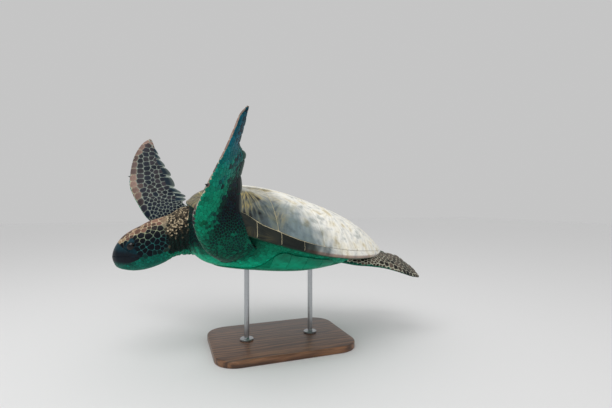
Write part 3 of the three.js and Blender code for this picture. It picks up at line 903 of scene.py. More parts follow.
# at each share of a scale's reach, the heights of its rings as shares of its own, where 0 is the foot
RISES = {1: [0, 0.5], 0.87: [0.93], 0.5: [1.0]}
RING_SHARES = [share for share, rises in RISES.items() for _ in rises]
EDGE_FADE = [0.5, 0.3, 0.04, 0]          # how far a ring's colour goes over to the line's
EDGE_FADE_HEAD = [0.35, 0.14, 0, 0]      # crisper on the shields of the head
HEART_SHADE = [1, 1, 1, 0.84]            # darker in the middle
SHADE = 0.24                   # how much one scale is darker or lighter than its neighbour
PATCH = 0.0015                 # radius of a scale's own patch on the map of its colours
CORNERS = 16                   # points round a scale
CORNERS_IF_SMALL = 9

seed_places = places_of(seed_points)
chances = dice.uniform(size=len(seed_points))
seed_line, seed_tint, _, seed_gap = coat_at(seed_points, seed_places, chances)
seed_tint = seed_tint * (1 + SHADE * dice.uniform(-1, 1, (len(seed_points), 1)))
lifted_seeds = seed_points + LIFT * seed_normals
near = tree_of(lifted_seeds)
beside = np.array([[other for _, other, _ in near.find_n(point, NEIGHBOURS + 1)][1:]
                   for point in lifted_seeds])


def reach_of(members, angles):
    """How far each scale reaches from its root in each direction, and those directions on its face."""
    normal = seed_normals[members]
    first = unit(np.cross(normal, np.array([0.31, 0.17, 0.93])))
    second = np.cross(normal, first)
    away = seed_points[beside[members]] - seed_points[members][:, None]
    span = np.linalg.norm(away, axis=-1)
    way = unit(away - (away * normal[:, None]).sum(-1, keepdims=True) * normal[:, None])
    own, other = seed_pitches[members][:, None], seed_pitches[beside[members]]
    bound = np.maximum(span * own / (own + other) - seed_gap[members][:, None] / 2, LEAST_REACH)
    same_face = (seed_normals[beside[members]] * normal[:, None]).sum(-1) > -0.2
    bound = np.where(same_face, bound, NO_BOUND)
    ray = np.cos(angles)[:, None] * first[:, None] + np.sin(angles)[:, None] * second[:, None]
    facing = np.clip(np.einsum("nkd,nsd->nsk", way, ray), 0, None) / bound[:, None]
    limit = 1 / seed_pitches[members]
    total = (facing ** CORNER_SHARPNESS).sum(-1) + (limit ** CORNER_SHARPNESS)[:, None]
    return total ** (-1 / CORNER_SHARPNESS), ray


def on_skin(points):
    """The nearest point of the skin to each point, and the way out of the skin there."""
    found = [skin_surface.find_nearest(point) for point in points.reshape(-1, 3)]
    where = np.array([hit[0] for hit in found]).reshape(points.shape)
    out = np.array([hit[1] for hit in found]).reshape(points.shape)
    return where, out


def repeated(faces, count, each):
    """The faces of so many like parts, which have so many vertices each."""
    return [tuple(v + each * n for v in face) for n in range(count) for face in faces]


def scale_plates(members, corners):
    """Domed plates on the skin: points, faces, the vertices' plate numbers and their place on the plate."""
    angles = np.linspace(0, 2 * np.pi, corners, endpoint=False)
    reach, ray = reach_of(members, angles)
    height = (0.3 + 0.028 * seed_pitches[members])[:, None, None]
    rings = []
    for share, rises in RISES.items():
        where, out = on_skin(seed_points[members][:, None] + ray * (reach * share)[..., None])
        out = unit(out + seed_normals[members][:, None])
        rings += [where + out * (rise * height if rise else -SINK) for rise in rises]
    crown = seed_points[members] + seed_normals[members] * height[:, 0] * 1.02
    points = np.concatenate([np.stack(rings, 1).reshape(len(members), -1, 3), crown[:, None]], 1)
    each = points.shape[1]
    top = (len(RING_SHARES) - 1) * corners
    pattern = [tuple(range(corners))[::-1]] + ring_walls(len(RING_SHARES), corners)
    pattern += [(top + k, top + (k + 1) % corners, top + corners) for k in range(corners)]
    ring_share = np.repeat(RING_SHARES, corners)
    round_ring = np.tile(angles, len(RING_SHARES))
    spots = np.stack([np.cos(round_ring) * ring_share, np.sin(round_ring) * ring_share], -1)
    spots = np.vstack([spots, [0, 0]])
    return (points.reshape(-1, 3), repeated(pattern, len(members), each), np.repeat(members, each),
            np.tile(spots, (len(members), 1)))


def chart_of(members):
    """Where each root lies on an unwrap of its limb: along it, and round it from edge to edge and back."""
    limb, t, share, side = seed_places[members].T
    round_share = np.where(side > 0, share / 2, 1 - share / 2)
    chart = np.stack([t, np.where(limb == TRUNK, (share + 1) / 2, round_share)], -1)
    low, high = chart.min(0), chart.max(0)
    return 0.02 + 0.96 * (chart - low) / np.maximum(high - low, 1e-6)


def give_map(mesh, places):
    """The map on which the scales' colours are kept, a place for each vertex."""
    layer = mesh.uv_layers.new(name="OFBake")
    corner_vertex = np.zeros(len(mesh.loops), int)
    mesh.loops.foreach_get("vertex_index", corner_vertex)
    layer.data.foreach_set("uv", places[corner_vertex].astype(np.float32).ravel())


scale_horn, shader = new_material("scale_horn", 0.45, 0.1)
clouds = spread(scale_horn, noise_node(scale_horn, 260, 4), 0.3, 0.7, 0.82, 1.2)
colour_from(scale_horn, shader, times(scale_horn, tint_node(scale_horn), clouds))
bump(scale_horn, shader, noise_node(scale_horn, 900, 2), 0.00025, 0.5)


def coat_piece(name, members, corners, edge_fade):
    """One joined mesh of the scales of a part of the body."""
    points, faces, roots, spots = scale_plates(members, corners)
    piece = new_piece(name, points, faces)
    fade = np.tile(np.append(np.repeat(edge_fade, corners), 0), len(members))
    heart = np.tile(np.append(np.repeat(HEART_SHADE, corners), HEART_SHADE[-1]), len(members))
    give_tint(piece.data, mix(seed_tint[roots], seed_line[roots], fade) * heart[:, None])
    number = np.zeros(len(seed_points), int)
    number[members] = np.arange(len(members))
    give_map(piece.data, chart_of(members)[number[roots]] + PATCH * spots)
    piece.data.materials.append(scale_horn)
    smooth(piece, 50)
    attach(piece, "root")


seed_ahead = (seed_points - OCCIPUT) @ HEAD_FORWARD
seed_limb = seed_places[:, 0].astype(int)
GROUPS = {name: seed_limb == number for number, name in enumerate(LIMB_NAMES)}
GROUPS["neck"] = GROUPS["head"] & (seed_ahead < 0)
GROUPS["head"] = GROUPS["head"] & (seed_ahead >= 0)
GROUPS["trunk"] = seed_limb == TRUNK
for name, group in GROUPS.items():
    coat_piece("scales_" + name, np.flatnonzero(group),
               CORNERS_IF_SMALL if name in ("neck", "trunk", "tail") else CORNERS,
               EDGE_FADE_HEAD if name == "head" else EDGE_FADE)


# ================================================================== scalloped edges
# Along the rear of a flipper the plates wrap the edge and stand out past it, one beside the other like the
# teeth of a worn saw. They are the same horn as the scales: dark above, and below as the flipper is there:
# black near the body, which is painted shade, then green, and blue toward the tip, which is the water's
# light painted in.
LOBE_STEPS = 14
LOBE_THICKNESS = 0.7
LOBE_SHADE = 0.2               # how much one lobe is darker or lighter than the next
LOBE_SLATE = paint(20, 38, 50)
LOBE_FADE = np.array([0.3, 0, 0, 0.55, 0.42, 0, 0, 0])    # how far its colour goes over to the line's


def lobe(limb, start, end, stand_out):
    """One tooth of the edge, as rings that run from its side nearer the body to the other."""
    way = np.linspace(0, 1, LOBE_STEPS)
    t = start + (end - start) * (0.04 + 0.92 * way)
    above, below = (limb.at(t, LOBE_ROOT, side, COAT) for side in (1, -1))
    middle = [limb.at(t, 0.93, side, COAT) for side in (1, -1)]
    edge = limb.at(t, 1.0, 1)
    outward = unit(edge - (above + below) / 2)
    rim = edge + outward * (stand_out * (1.5 - start) * np.sin(np.pi * way ** 0.8) ** 0.75)[:, None]
    up = unit(above - below)
    thick = up * np.where((way > 0) & (way < 1), LOBE_THICKNESS, 0.15)[:, None]
    return np.stack([above - up * SINK, above + thick, middle[0] + thick * 1.1, rim + thick * 0.6,
                     rim - thick * 0.6, middle[1] - thick * 1.1, below - thick, below + up * SINK], 1)


def scalloped_edge(name, stand_out, above, below):
    """The lobes of one flipper, standing out by up to about so many millimetres."""
    limb, bounds = LIMBS[name], LOBED[name]
    lobes = [lobe(limb, start, end, stand_out) for start, end in zip(bounds, bounds[1:])]
    steps, count = lobes[0].shape[:2]
    faces = repeated(ring_faces(steps, count), len(lobes), steps * count)
    piece = new_piece("edge_" + name, np.concatenate(lobes).reshape(-1, 3), faces)
    face_outwards(piece)
    dorsal = np.repeat([limb.up > 0, limb.up < 0], count // 2)
    way = np.linspace(0, 1, steps)
    joint = 1 - ease(np.minimum(way, 1 - way), 0.04, 0.16)
    fade = np.maximum(LOBE_FADE, joint[:, None] * dorsal)
    shades = 1 + LOBE_SHADE * dice.uniform(-1, 1, len(lobes))
    tints = []
    for start, shade in zip(bounds, shades):
        # lobes near the body take the armpit's black painted shade, those toward the tip the water's blue
        # light
        green = mix(mix(ARMPIT_SHADE, below, ease(start, 0.4, 0.66)), TEAL, 0.6 * ease(start, 0.6, 0.85))
        tints.append(shade * mix(np.where(dorsal[:, None], above, green), BLADE_LINE, fade).reshape(-1, 3))
    give_tint(piece.data, np.concatenate(tints))
    middle = np.repeat((np.array(bounds[1:]) + bounds[:-1]) / 2, steps * count)
    face_place = np.tile(np.repeat([0.25, 0.75], count // 2), steps * len(lobes))
    way = np.tile(np.repeat(np.linspace(-1, 1, steps), count), len(lobes))
    give_map(piece.data, np.stack([middle + PATCH * way, face_place + PATCH * (way ** 2 - 0.5)], -1))
    piece.data.materials.append(scale_horn)
    smooth(piece, 50)
    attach(piece, "root")


scalloped_edge("front_left", 4.0, LOBE_SLATE, DEEP_GREEN)
scalloped_edge("front_right", 7.5, LOBE_SLATE, DEEP_GREEN)
for name in ("hind_left", "hind_right"):
    scalloped_edge(name, 3.0, HIND_SCALE, DEEP_GREEN)


# ================================================================== upper shell
# Plates of horn over bone: a nuchal plate and five along the back, four on each side and eleven round each
# half of the rim. They are laid edge to edge on a bed whose colour shows as the seams.
BED_DEPTH = 0.9
SEAM = 1.35                    # between plates in front; worn narrower behind
SEAM_BEHIND = 0.9
PLATE_RISE = 0.5
PLATE_EDGE = -0.35             # how high the edge of a plate lies, below its neighbours' tops
PLATE_STEP = 2.5               # between points of a plate's outline
SEAM_WANDER = 0.25             # how far a seam strays from its straight line
WIDEST = SHELL_FRONT_POWER / (SHELL_FRONT_POWER + SHELL_REAR_POWER)
FIRST_STATION = 0.0006
RIM_TUCK = 0.2                 # the plates reach under the rim by this share of the half width
STREAK_LENGTH = 420            # along a streak, to one turn round the plate's centre of growth
NUCHAL_HALF = 46               # half width at the rim, and behind
NUCHAL_HALF_BEHIND = 39
NUCHAL_END = 0.0465
RIM_STEPS = 22

# how far down the dome the side plates meet the rim plates, in degrees from the ridge
side_border = profile([[0, 30], [0.05, 47], [0.1, 53], [0.15, 57], [0.2, 60], [0.26, 68], [0.33, 71.5],
                       [0.42, 75], [0.6, 76], [0.8, 74], [0.95, 68], [1, 60]])
# half width of the row along the back: at its seams, and at the corners between them
BACK_ROW = [(0.048, 40), (0.062, 72), (0.125, 62), (0.21, 42), (0.305, 66), (0.4, 42), (0.495, 68),
            (0.59, 42), (0.685, 62), (0.78, 36), (0.885, 54), (0.955, 30)]
BACK_SPANS = [(0.048, 0.21), (0.21, 0.4), (0.4, 0.59), (0.59, 0.78), (0.78, 0.955)]
BACK_CORNER = 0.925            # where the last plate of the back reaches the rim plates
GROWTH = 0.65                  # a plate's centre of growth lies this share of its length from its front
SIDE_GROWTH = 0.42             # a side plate's, this share of the way out to the rim
RIM_GROWTH = (0.85, 18)        # a rim plate's, this share of its length back and this far out
SIDE_SEAMS = [(0.062, 0.07), (0.305, 0.329), (0.495, 0.535), (0.685, 0.73), (0.885, 0.925)]
RIM_SEAMS = [0.0035, 0.055, 0.150, 0.246, 0.341, 0.439, 0.537, 0.63, 0.725, 0.82, 0.91, 0.9985]
RIM_TURN = [(0, 2.5), (0, 5), (0.9, 7.1), (3, 8), (9, 8)]    # inward and down from the rim, under its edge
DOME_SQUARE, DOME_FALL = 2.2, 0.75    # how square the dome is across, and how steeply it falls to the rim


def dome_share(u):
    """Height of the dome over the rim, as a share of the ridge's, at a share of the way out to the rim."""
    return (1 - u**DOME_SQUARE) ** DOME_FALL


def station(x):
    return 0.5 - np.asarray(x) / SHELL_LENGTH


def along_shell(t):
    return (0.5 - np.asarray(t)) * SHELL_LENGTH


def over_plan(plan):
    """The points of the dome over places on its plan."""
    x, y = plan[..., 0], plan[..., 1]
    t = np.clip(station(x), FIRST_STATION, 1 - FIRST_STATION)
    u = np.minimum(np.abs(y) / shell_half_width(t), 1)
    rise = np.maximum(ridge_height(t) - rim_height(t), 1)
    return stack(x, y, rim_height(t) + rise * dome_share(u))


def border_at(t):
    """The place on the plan where the side plates meet the rim plates, on the left."""
    return stack(along_shell(t), np.sin(np.radians(side_border(t))) * shell_half_width(t))


def seam_at(x):
    return SEAM + (SEAM_BEHIND - SEAM) * ease(station(x), 0.33, 0.5)


def seam_between(points, share):
    """A broken line through points of the plan, at shares of its way."""
    points = np.array(points, float)
    knots = np.linspace(0, 1, len(points))
    return np.stack([np.interp(share, knots, points[:, k]) for k in range(2)], -1)


class Plates:
    """Plates gathered into one mesh, each with the lie of its own streaks."""

    def __init__(self):
        self.points, self.faces, self.streaks = [], [], []

    def add(self, grid, lift, away, across_way, closed_round):
        """A face of rows and columns; away and across say where a point lies from the centre of growth."""
        rows, columns = grid.shape[:2]
        ahead = np.gradient(grid, axis=0)
        beside = (np.roll(grid, -1, 1) - np.roll(grid, 1, 1)) if closed_round else np.gradient(grid, axis=1)
        normal = unit(np.cross(ahead, beside))
        x, y = grid[..., 0], grid[..., 1]
        heart = stack(0.8 * x, 0.8 * y, rim_height(np.clip(station(x), 0, 1)) - 4)
        facing = np.sign((normal * (grid - heart)).sum())
        first = sum(len(p) for p in self.points)
        for r in range(rows - 1):
            for k in range(columns if closed_round else columns - 1):
                a, b = first + r * columns + k, first + r * columns + (k + 1) % columns
                face = (a, a + columns, b + columns, b)
                self.faces.append(face if facing > 0 else face[::-1])
        if closed_round:
            last = tuple(first + (rows - 1) * columns + k for k in range(columns))
            self.faces.append(last[::-1] if facing > 0 else last)
        number = len(self.points)
        self.points.append((grid + normal * facing * lift[..., None]).reshape(-1, 3))
        turned = np.arctan2(across_way, away)
        far = np.hypot(away, across_way) / STREAK_LENGTH
        self.streaks.append(stack(np.cos(turned) + 3 * number, np.sin(turned), far).reshape(-1, 3))

    def make(self, name, colours_of, material, slot):
        """The finished piece, with its colours, its streaks and how strongly they show."""
        points = np.concatenate(self.points)
        piece = new_piece(name, points, self.faces)
        colours, patterned = colours_of(points)
        give_tint(piece.data, colours)
        for key, kind, field, values in (("streak", "FLOAT_VECTOR", "vector", np.concatenate(self.streaks)),
                                         ("pattern", "FLOAT", "value", patterned)):
            layer = piece.data.attributes.new(key, kind, "POINT")
            layer.data.foreach_set(field, values.astype(np.float32).ravel())
        piece.data.materials.append(material)
        finish_with(piece, "SOLIDIFY", thickness=BED_DEPTH * MM, offset=-1)
        smooth(piece, 50)
        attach(piece, "root")


def outline_of(corners):
    """Points at about equal steps round a plate, with its corners a little rounded."""
    corners = np.array(corners, float)
    points = []
    for a, b in zip(corners, np.roll(corners, -1, axis=0)):
        count = max(round(np.linalg.norm(b - a) / PLATE_STEP), 1)
        points += [a + (b - a) * k / count for k in range(count)]
    return np.array(points)


def dome_plate(plates, corners, focus):
    """A plate of the dome, filled in rings from its outline to its centre of growth."""
    outline = outline_of(corners)
    place = over_plan(outline)
    ahead = np.roll(place, -1, axis=0) - np.roll(place, 1, axis=0)
    slopes = [over_plan(outline + step) - over_plan(outline - step) for step in np.eye(2) * 0.5]
    inward = unit(np.cross(np.cross(*slopes), ahead))[:, :2]
    inward = inward * np.sign(((focus - outline) * inward).sum())
    outline = outline + inward * (seam_at(outline[:, 0]) / 2 + SEAM_WANDER * waves(place, 25, 1.0))[:, None]
    for _ in range(3):
        outline = (np.roll(outline, 1, axis=0) + 2 * outline + np.roll(outline, -1, axis=0)) / 4
    shares = np.concatenate([[1, 0.993, 0.985], np.linspace(0.965, 0.03, 17)])
    plan = focus + (outline - focus) * shares[:, None, None]
    lift = np.where(shares == 1, PLATE_EDGE, PLATE_RISE * (1 - shares**3) - 0.05)
    away = plan - focus
    plates.add(over_plan(plan), lift[:, None] * np.ones(len(outline)), away[..., 0], away[..., 1], True)


def rim_plate(plates, inner, outline):
    """A plate of the rim, from its border with the dome over the edge and a little way under it."""
    down = np.concatenate([[0, 0.02], np.linspace(0.06, 1, 12)])
    share = np.sin(np.pi / 2 * down)[:, None, None]
    inner = inner + unit(outline - inner) * seam_at(inner[:, 0])[:, None] / 2
    top = over_plan(inner + (outline - inner) * share)
    run = unit(np.gradient(outline, axis=0))
    inward = np.stack([run[:, 1], -run[:, 0]], -1)
    inward = inward * np.sign(((0.8 * outline - outline) * inward).sum())
    tuck = RIM_TUCK * shell_half_width(np.clip(station(outline[:, 0]), 0.03, 0.97))
    under = [stack(*(outline + inward * reach).T, top[-1, :, 2] - drop) for reach, drop in RIM_TURN]
    under.append(stack(*(outline + inward * tuck[:, None]).T, top[-1, :, 2] - RIM_DEPTH))
    grid = np.concatenate([top, np.array(under)])
    lift = np.zeros(grid.shape[:2])
    lift[0] = lift[:, 0] = lift[:, -1] = PLATE_EDGE
    run_length = np.concatenate([[0], np.cumsum(np.linalg.norm(np.diff(outline, axis=0), axis=1))])
    fall = np.linalg.norm(np.diff(grid, axis=0), axis=-1).cumsum(0)
    fall = np.concatenate([np.zeros((1, grid.shape[1])), fall])
    behind, out = RIM_GROWTH
    plates.add(grid, lift, fall * 0 + run_length - behind * run_length[-1], fall - out, False)


def from_back_row(start, end):
    """The corners of the back row's left border between two stations."""
    return [(along_shell(t), y) for t, y in BACK_ROW if start <= t <= end]


# colours of the horn, and where one gives way to the next, in stations from the front
BONE_WHITE = paint(242, 241, 236)
SEAM_CREAM = paint(200, 190, 158)
SEAM_WORN = paint(186, 182, 170)
# slate: painted shade on the flank
SLATE = paint(102, 121, 128)
FORE_BROWN = paint(112, 96, 78)
RIM_BROWN = paint(25, 31, 29)
RIM_RUST = paint(128, 84, 66)
RIM_GREEN = paint(4, 74, 54)
FORE_END = (0.05, 0.17)
PATTERN_END = (0.24, 0.42)
PATTERN_START = (6, 22)        # degrees down from the ridge
SHADED_FLANK_END = (0.33, 0.56)
SHADED_FLANK_DOWN = (22, 52)          # degrees down from the ridge
DARK_RIM_START = (0.02, 0.12)
DARK_RIM_END = (0.42, 0.6)
RUST_END = (0.8, 0.95)
UNDER_RIM = (4.5, 7.5)         # millimetres below the rim


def shell_colours(points):
    """Brown and patterned in front, bone white behind, painted slate shade down the flank, the front of the
    rim dark.
    """
    t = station(points[:, 0])
    rim = rim_height(np.clip(t, 0, 1))
    drift, fleck = waves(points, 130, 4.0), waves(points, 45, 9.0)
    u = np.abs(points[:, 1]) / shell_half_width(np.clip(t, FIRST_STATION, 1 - FIRST_STATION))
    down = np.degrees(np.arcsin(np.clip(u, 0, 1)))
    # painted shade: slate down the flank, where it turns away from the light
    flank = 1 - ease(t + 0.04 * fleck - 0.12 * ease(down, 40, 72), *SHADED_FLANK_END)
    flank = ease(down + 7 * drift, *SHADED_FLANK_DOWN) * flank
    fore = 1 - ease(t, *FORE_END)
    colour = mix(mix(BONE_WHITE, SLATE, 0.95 * flank), FORE_BROWN, 0.8 * fore)
    in_rim = ease(down - side_border(np.clip(t, 0, 1)), -0.5, 0.5)
    rust = 0.7 * in_rim * ease(rim - points[:, 2], -3, 1) * (1 - ease(t, *RUST_END))
    dark_rim = in_rim * (1 - ease(t + 0.03 * fleck, *DARK_RIM_END)) * ease(t, *DARK_RIM_START)
    # painted: under the rim a dark green stands for the water's light and the shade under the rim
    below = ease(rim - points[:, 2], *UNDER_RIM)
    colour = mix(mix(mix(colour, RIM_RUST, rust), RIM_BROWN, dark_rim), RIM_GREEN, below)
    # the pattern is left off the ridge, whose white is partly painted sunlight
    patterned = (1 - ease(t + 0.03 * drift, *PATTERN_END)) * ease(down, *PATTERN_START)
    patterned = np.maximum(patterned, 0.6 * fore) * (1 - 0.85 * dark_rim)
    return colour, np.clip(patterned, 0, 1) * (1 - below)


def ramp_of(material, value, *stops):
    """A run of colours, each at its own value between 0 and 1."""
    ramp = add_node(material, "ValToRGB", {"Fac": value})
    for place, colour in stops:
        ramp.color_ramp.elements.new(place).color = (*paint(*colour), 1)
    ramp.color_ramp.elements[0].color = ramp.color_ramp.elements[1].color
    ramp.color_ramp.elements[-1].color = ramp.color_ramp.elements[-2].color
    return ramp.outputs["Color"]


def blend(material, share, first, second, kind="RGBA"):
    """The second colour or value over the first, by a share."""
    at = 6 if kind == "RGBA" else 2
    node = add_node(material, "Mix", {0: share, at: first, at + 1: second}, data_type=kind)
    return node.outputs[2 if kind == "RGBA" else 0]


def attribute_node(material, name):
    return add_node(material, "Attribute", attribute_name=name)


# the streaks of each plate fan out from its first centre of growth and fade out toward it; the rest is worn
# pale, with the ridge's white partly painted sunlight and the flank's slate painted shade, and with soft
# yellow and grey stains
shell_horn, shader = new_material("shell_horn", 0.55, 0.18)
lie = attribute_node(shell_horn, "streak").outputs["Vector"]
from_centre = add_node(shell_horn, "SeparateXYZ", {0: lie}).outputs["Z"]
rays = blend(shell_horn, spread(shell_horn, from_centre, 0.01, 0.09, 0.15, 1), 0.5,
             noise_node(shell_horn, 10, 5, lie), "FLOAT")
horn = ramp_of(shell_horn, rays, (0.36, (34, 32, 32)), (0.43, (78, 80, 76)), (0.5, (122, 120, 106)),
               (0.56, (160, 147, 104)), (0.64, (104, 106, 100)))
clouds = ramp_of(shell_horn, noise_node(shell_horn, 13, 5), (0.38, (150, 168, 180)),
                 (0.5, (226, 226, 216)), (0.6, (252, 240, 200)))
stains = ramp_of(shell_horn, noise_node(shell_horn, 34, 7), (0.32, (206, 210, 208)),
                 (0.44, (252, 252, 250)), (0.56, (255, 252, 242)), (0.68, (228, 217, 190)))
streaks = spread(shell_horn, rays, 0.38, 0.6, 0.86, 1.03)
scuffs = spread(shell_horn, noise_node(shell_horn, 70, 6), 0.32, 0.5, 0.84, 1.0)
worn = tint_node(shell_horn)
for layer in (stains, streaks, scuffs):
    worn = times(shell_horn, worn, layer)
patches = spread(shell_horn, noise_node(shell_horn, 17, 5), 0.36, 0.6, 0.6, 1.3)
pattern = attribute_node(shell_horn, "pattern").outputs["Fac"]
patterned = add_node(shell_horn, "Math", {0: patches, 1: pattern}, operation="MULTIPLY", use_clamp=True)
fresh = times(shell_horn, horn, clouds)
colour_from(shell_horn, shader, blend(shell_horn, patterned.outputs[0], worn, fresh))
bump(shell_horn, shader, rays, 0.0005, 0.3)

# along the back
back = Plates()
for start, end in BACK_SPANS:
    left = from_back_row(start, end)
    if end == BACK_SPANS[-1][1]:
        left.insert(-1, tuple(border_at(BACK_CORNER)))
    right = [(x, -y) for x, y in left[::-1]]
    dome_plate(back, left + right, np.array([along_shell((1 - GROWTH) * start + GROWTH * end), 0]))

# down the sides
flanks = {1: Plates(), -1: Plates()}
for side, plates in flanks.items():
    for (back_start, rim_start), (back_end, rim_end) in zip(SIDE_SEAMS, SIDE_SEAMS[1:]):
        outer = border_at(np.linspace(rim_end, rim_start, 9))
        t = (1 - GROWTH) * back_start + GROWTH * back_end
        focus = np.array([along_shell(t), side * SIDE_GROWTH * shell_half_width(t)])
        dome_plate(plates, np.array(from_back_row(back_start, back_end) + list(outer)) * (1, side), focus)

# round the rim. Near its ends the outline runs across the shell, so there its stations follow from the
# width. The first plate's inner border passes the nuchal and the first plates of the back and side, and the
# last plate's passes the last plate of the back.
rims = {1: Plates(), -1: Plates()}
share = np.linspace(0, 1, RIM_STEPS)
rim_stations = np.linspace(FIRST_STATION ** (1 / 3), WIDEST ** (1 / 3), 4000) ** 3
FIRST_RIM_BORDER = [(along_shell(t), y) for t, y in ((0.0475, 41), (0.0545, 57), (0.0615, 73),
                                                     (0.0696, 127.5))]
BACK_END, TAIL_GAP = 0.955, 0.6
back_corner = border_at(BACK_CORNER)
row_end = [(along_shell(BACK_END), y) for y in (30, 15, TAIL_GAP)]
for side, plates in rims.items():
    for number, (start, end) in enumerate(zip(RIM_SEAMS, RIM_SEAMS[1:])):
        half_seam = seam_at(along_shell(start)) / 2 / SHELL_LENGTH
        t = start + half_seam + (end - start - 2 * half_seam) * share
        inner = border_at(np.maximum(t, SIDE_SEAMS[0][1] + 2 * half_seam))
        if number == 0:
            wide = np.linspace(NUCHAL_HALF + 1, shell_half_width(end) - 1, RIM_STEPS)
            t = np.interp(wide, shell_half_width(rim_stations), rim_stations)
            inner = seam_between(FIRST_RIM_BORDER, share)
        if number == len(RIM_SEAMS) - 2:
            wide = shell_half_width(start + half_seam) * (1 - share) + TAIL_GAP * share
            t = 1 - np.interp(wide, shell_half_width(1 - rim_stations), rim_stations)
            inner = seam_between([border_at(start + half_seam), back_corner, (back_corner + row_end[0]) / 2,
                                  *row_end], share)
        outline = stack(along_shell(t), shell_half_width(t))
        rim_plate(plates, inner * (1, side), outline * (1, side))

nuchal = Plates()
wide = np.linspace(-NUCHAL_HALF, NUCHAL_HALF, 2 * RIM_STEPS)
t = np.interp(np.abs(wide), shell_half_width(rim_stations), rim_stations)
inner = stack(along_shell(NUCHAL_END), wide * NUCHAL_HALF_BEHIND / NUCHAL_HALF)
rim_plate(nuchal, inner, stack(along_shell(t), wide))

nuchal.make("plate_nuchal", shell_colours, shell_horn, "carapace")
back.make("plates_back", shell_colours, shell_horn, "carapace")
for side, way in ((1, "left"), (-1, "right")):
    flanks[side].make("plates_side_" + way, shell_colours, shell_horn, "carapace")
    rims[side].make("plates_rim_" + way, shell_colours, shell_horn, "carapace")

# the bed under the plates, of bone, whose cream shows in the seams and whose underside is green, partly the
# water's light painted in
rings = []
bed_across = crowded_across(90)
for t in FIRST_STATION + (1 - 2 * FIRST_STATION) * crowded(140):
    half = shell_half_width(t) - BED_DEPTH
    rim = rim_height(t)
    rise = np.maximum(ridge_height(t) - rim, 1)
    dome = stack(along_shell(t), bed_across * half, rim + rise * dome_share(np.abs(bed_across)) - BED_DEPTH)
    edge = np.array([stack(along_shell(t), half - inward, rim - drop + BED_DEPTH * (drop > 6))
                     for inward, drop in RIM_TURN])
    rings.append(np.concatenate([dome, edge, edge[::-1] * (1, -1, 1)]))
shell_bed = body_of_rings("shell_bed", np.array(rings))
bed_points = points_of(shell_bed)
bed_t = station(bed_points[:, 0])
bed_colour = mix(SEAM_CREAM, SEAM_WORN, ease(bed_t, 0.4, 0.6))
below = ease(rim_height(np.clip(bed_t, 0, 1)) - bed_points[:, 2], 2, 5)
give_tint(shell_bed.data, mix(bed_colour, RIM_GREEN, below))
shell_bed.data.materials.append(scale_horn)
smooth(shell_bed, 50)
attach(shell_bed, "root")
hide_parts("carapace")


# ================================================================== belly plates
# The plastron: six pairs of smooth plates meeting on the midline, and four small ones on each side that
# bridge to the rim. They lie flush in the green skin of the belly; the green of both is partly the water's
# light painted in.
PLASTRON_PROUD = 0.02          # how far the plates, their bed and its back are swollen out from the trunk
PLASTRON_BED = 0.012
PLASTRON_BACK = -0.05
plastron_reach = profile([[0.11, 0.2], [0.16, 0.52], [0.27, 0.66], [0.36, 0.94], [0.44, 0.96], [0.54, 0.96],
                          [0.62, 0.94], [0.7, 0.72], [0.82, 0.6], [0.9, 0.3]])
BRIDGE_INSIDE = 0.74           # the bridge plates lie outside this share of the belly's width
BELLY_SEAMS = [0.112, 0.2, 0.31, 0.42, 0.555, 0.715, 0.898]
SEAM_BOW = [0, 0.02, -0.02, 0.012, 0.0, -0.018, 0]     # how far a seam runs back at its outer end
BRIDGE_SEAMS = [0.345, 0.415, 0.49, 0.565, 0.635]
BELLY_SEAM = 1.2               # width of a seam
BELLY_EDGE = -0.3              # how high the edge of a plate lies
BELLY_GROWTH = 0.3             # share of a plate's length ahead of its centre of growth
MAIN_GROWTH = 0.8              # and share of the width inside it, on the plates of the pairs
BRIDGE_GROWTH = 0.5            # and on those of the bridge
BELLY_GREEN = paint(6, 136, 104)
BELLY_PALE = paint(9, 152, 116)
BELLY_DARK = paint(4, 92, 56)
BELLY_SEAM_GREEN = paint(5, 118, 88)


def belly_colours(points):
    """Green with darker flecks in front, and up the bridge the colour of the skin beside it, darker as
    painted shade.
    """
    drift, fleck = waves(points, 110, 2.0), waves(points, 30, 6.0)
    green = mix(BELLY_GREEN, BELLY_PALE, ease(drift, -0.4, 1.2))
    # painted shade: the bridge goes over to a darker copy of the flank's green toward the rim
    green = mix(green, 0.78 * flank_green(points), ease(points[:, 2], 8, 26))
    flecked = 0.6 * ease(fleck, 0.2, 1.2) * (1 - ease(station(points[:, 0]), 0.4, 0.6))
    return mix(green, BELLY_DARK, flecked), np.zeros(len(points))


def belly_plate(plates, side, seams, bows, inside, outside, growth_out):
    """A plate between two seams, which bow back at their outer ends, and two shares of the width."""
    p, q = np.meshgrid(np.linspace(0, 1, 24), np.linspace(0, 1, 18), indexing="ij")
    for _ in range(2):
        start, end = (seam + bow * q**2 for seam, bow in zip(seams, bows))
        t = start + (end - start) * p
        reach = np.minimum(plastron_reach(t), outside)
        grid = belly_point(t, side * (inside + (reach - inside) * q), PLASTRON_PROUD)
        long = np.linalg.norm(np.diff(grid, axis=0), axis=-1).sum(0).mean()
        wide = np.linalg.norm(np.diff(grid, axis=1), axis=-1).sum(1).mean()
        p = np.clip(p, BELLY_SEAM / 2 / long, 1 - BELLY_SEAM / 2 / long)
        q = np.clip(q, BELLY_SEAM / 2 / wide, 1 - BELLY_SEAM / 2 / wide)
    lift = np.zeros(p.shape)
    lift[0] = lift[-1] = lift[:, 0] = lift[:, -1] = BELLY_EDGE
    plates.add(grid, lift, (p - BELLY_GROWTH) * long, (q - growth_out) * wide, False)


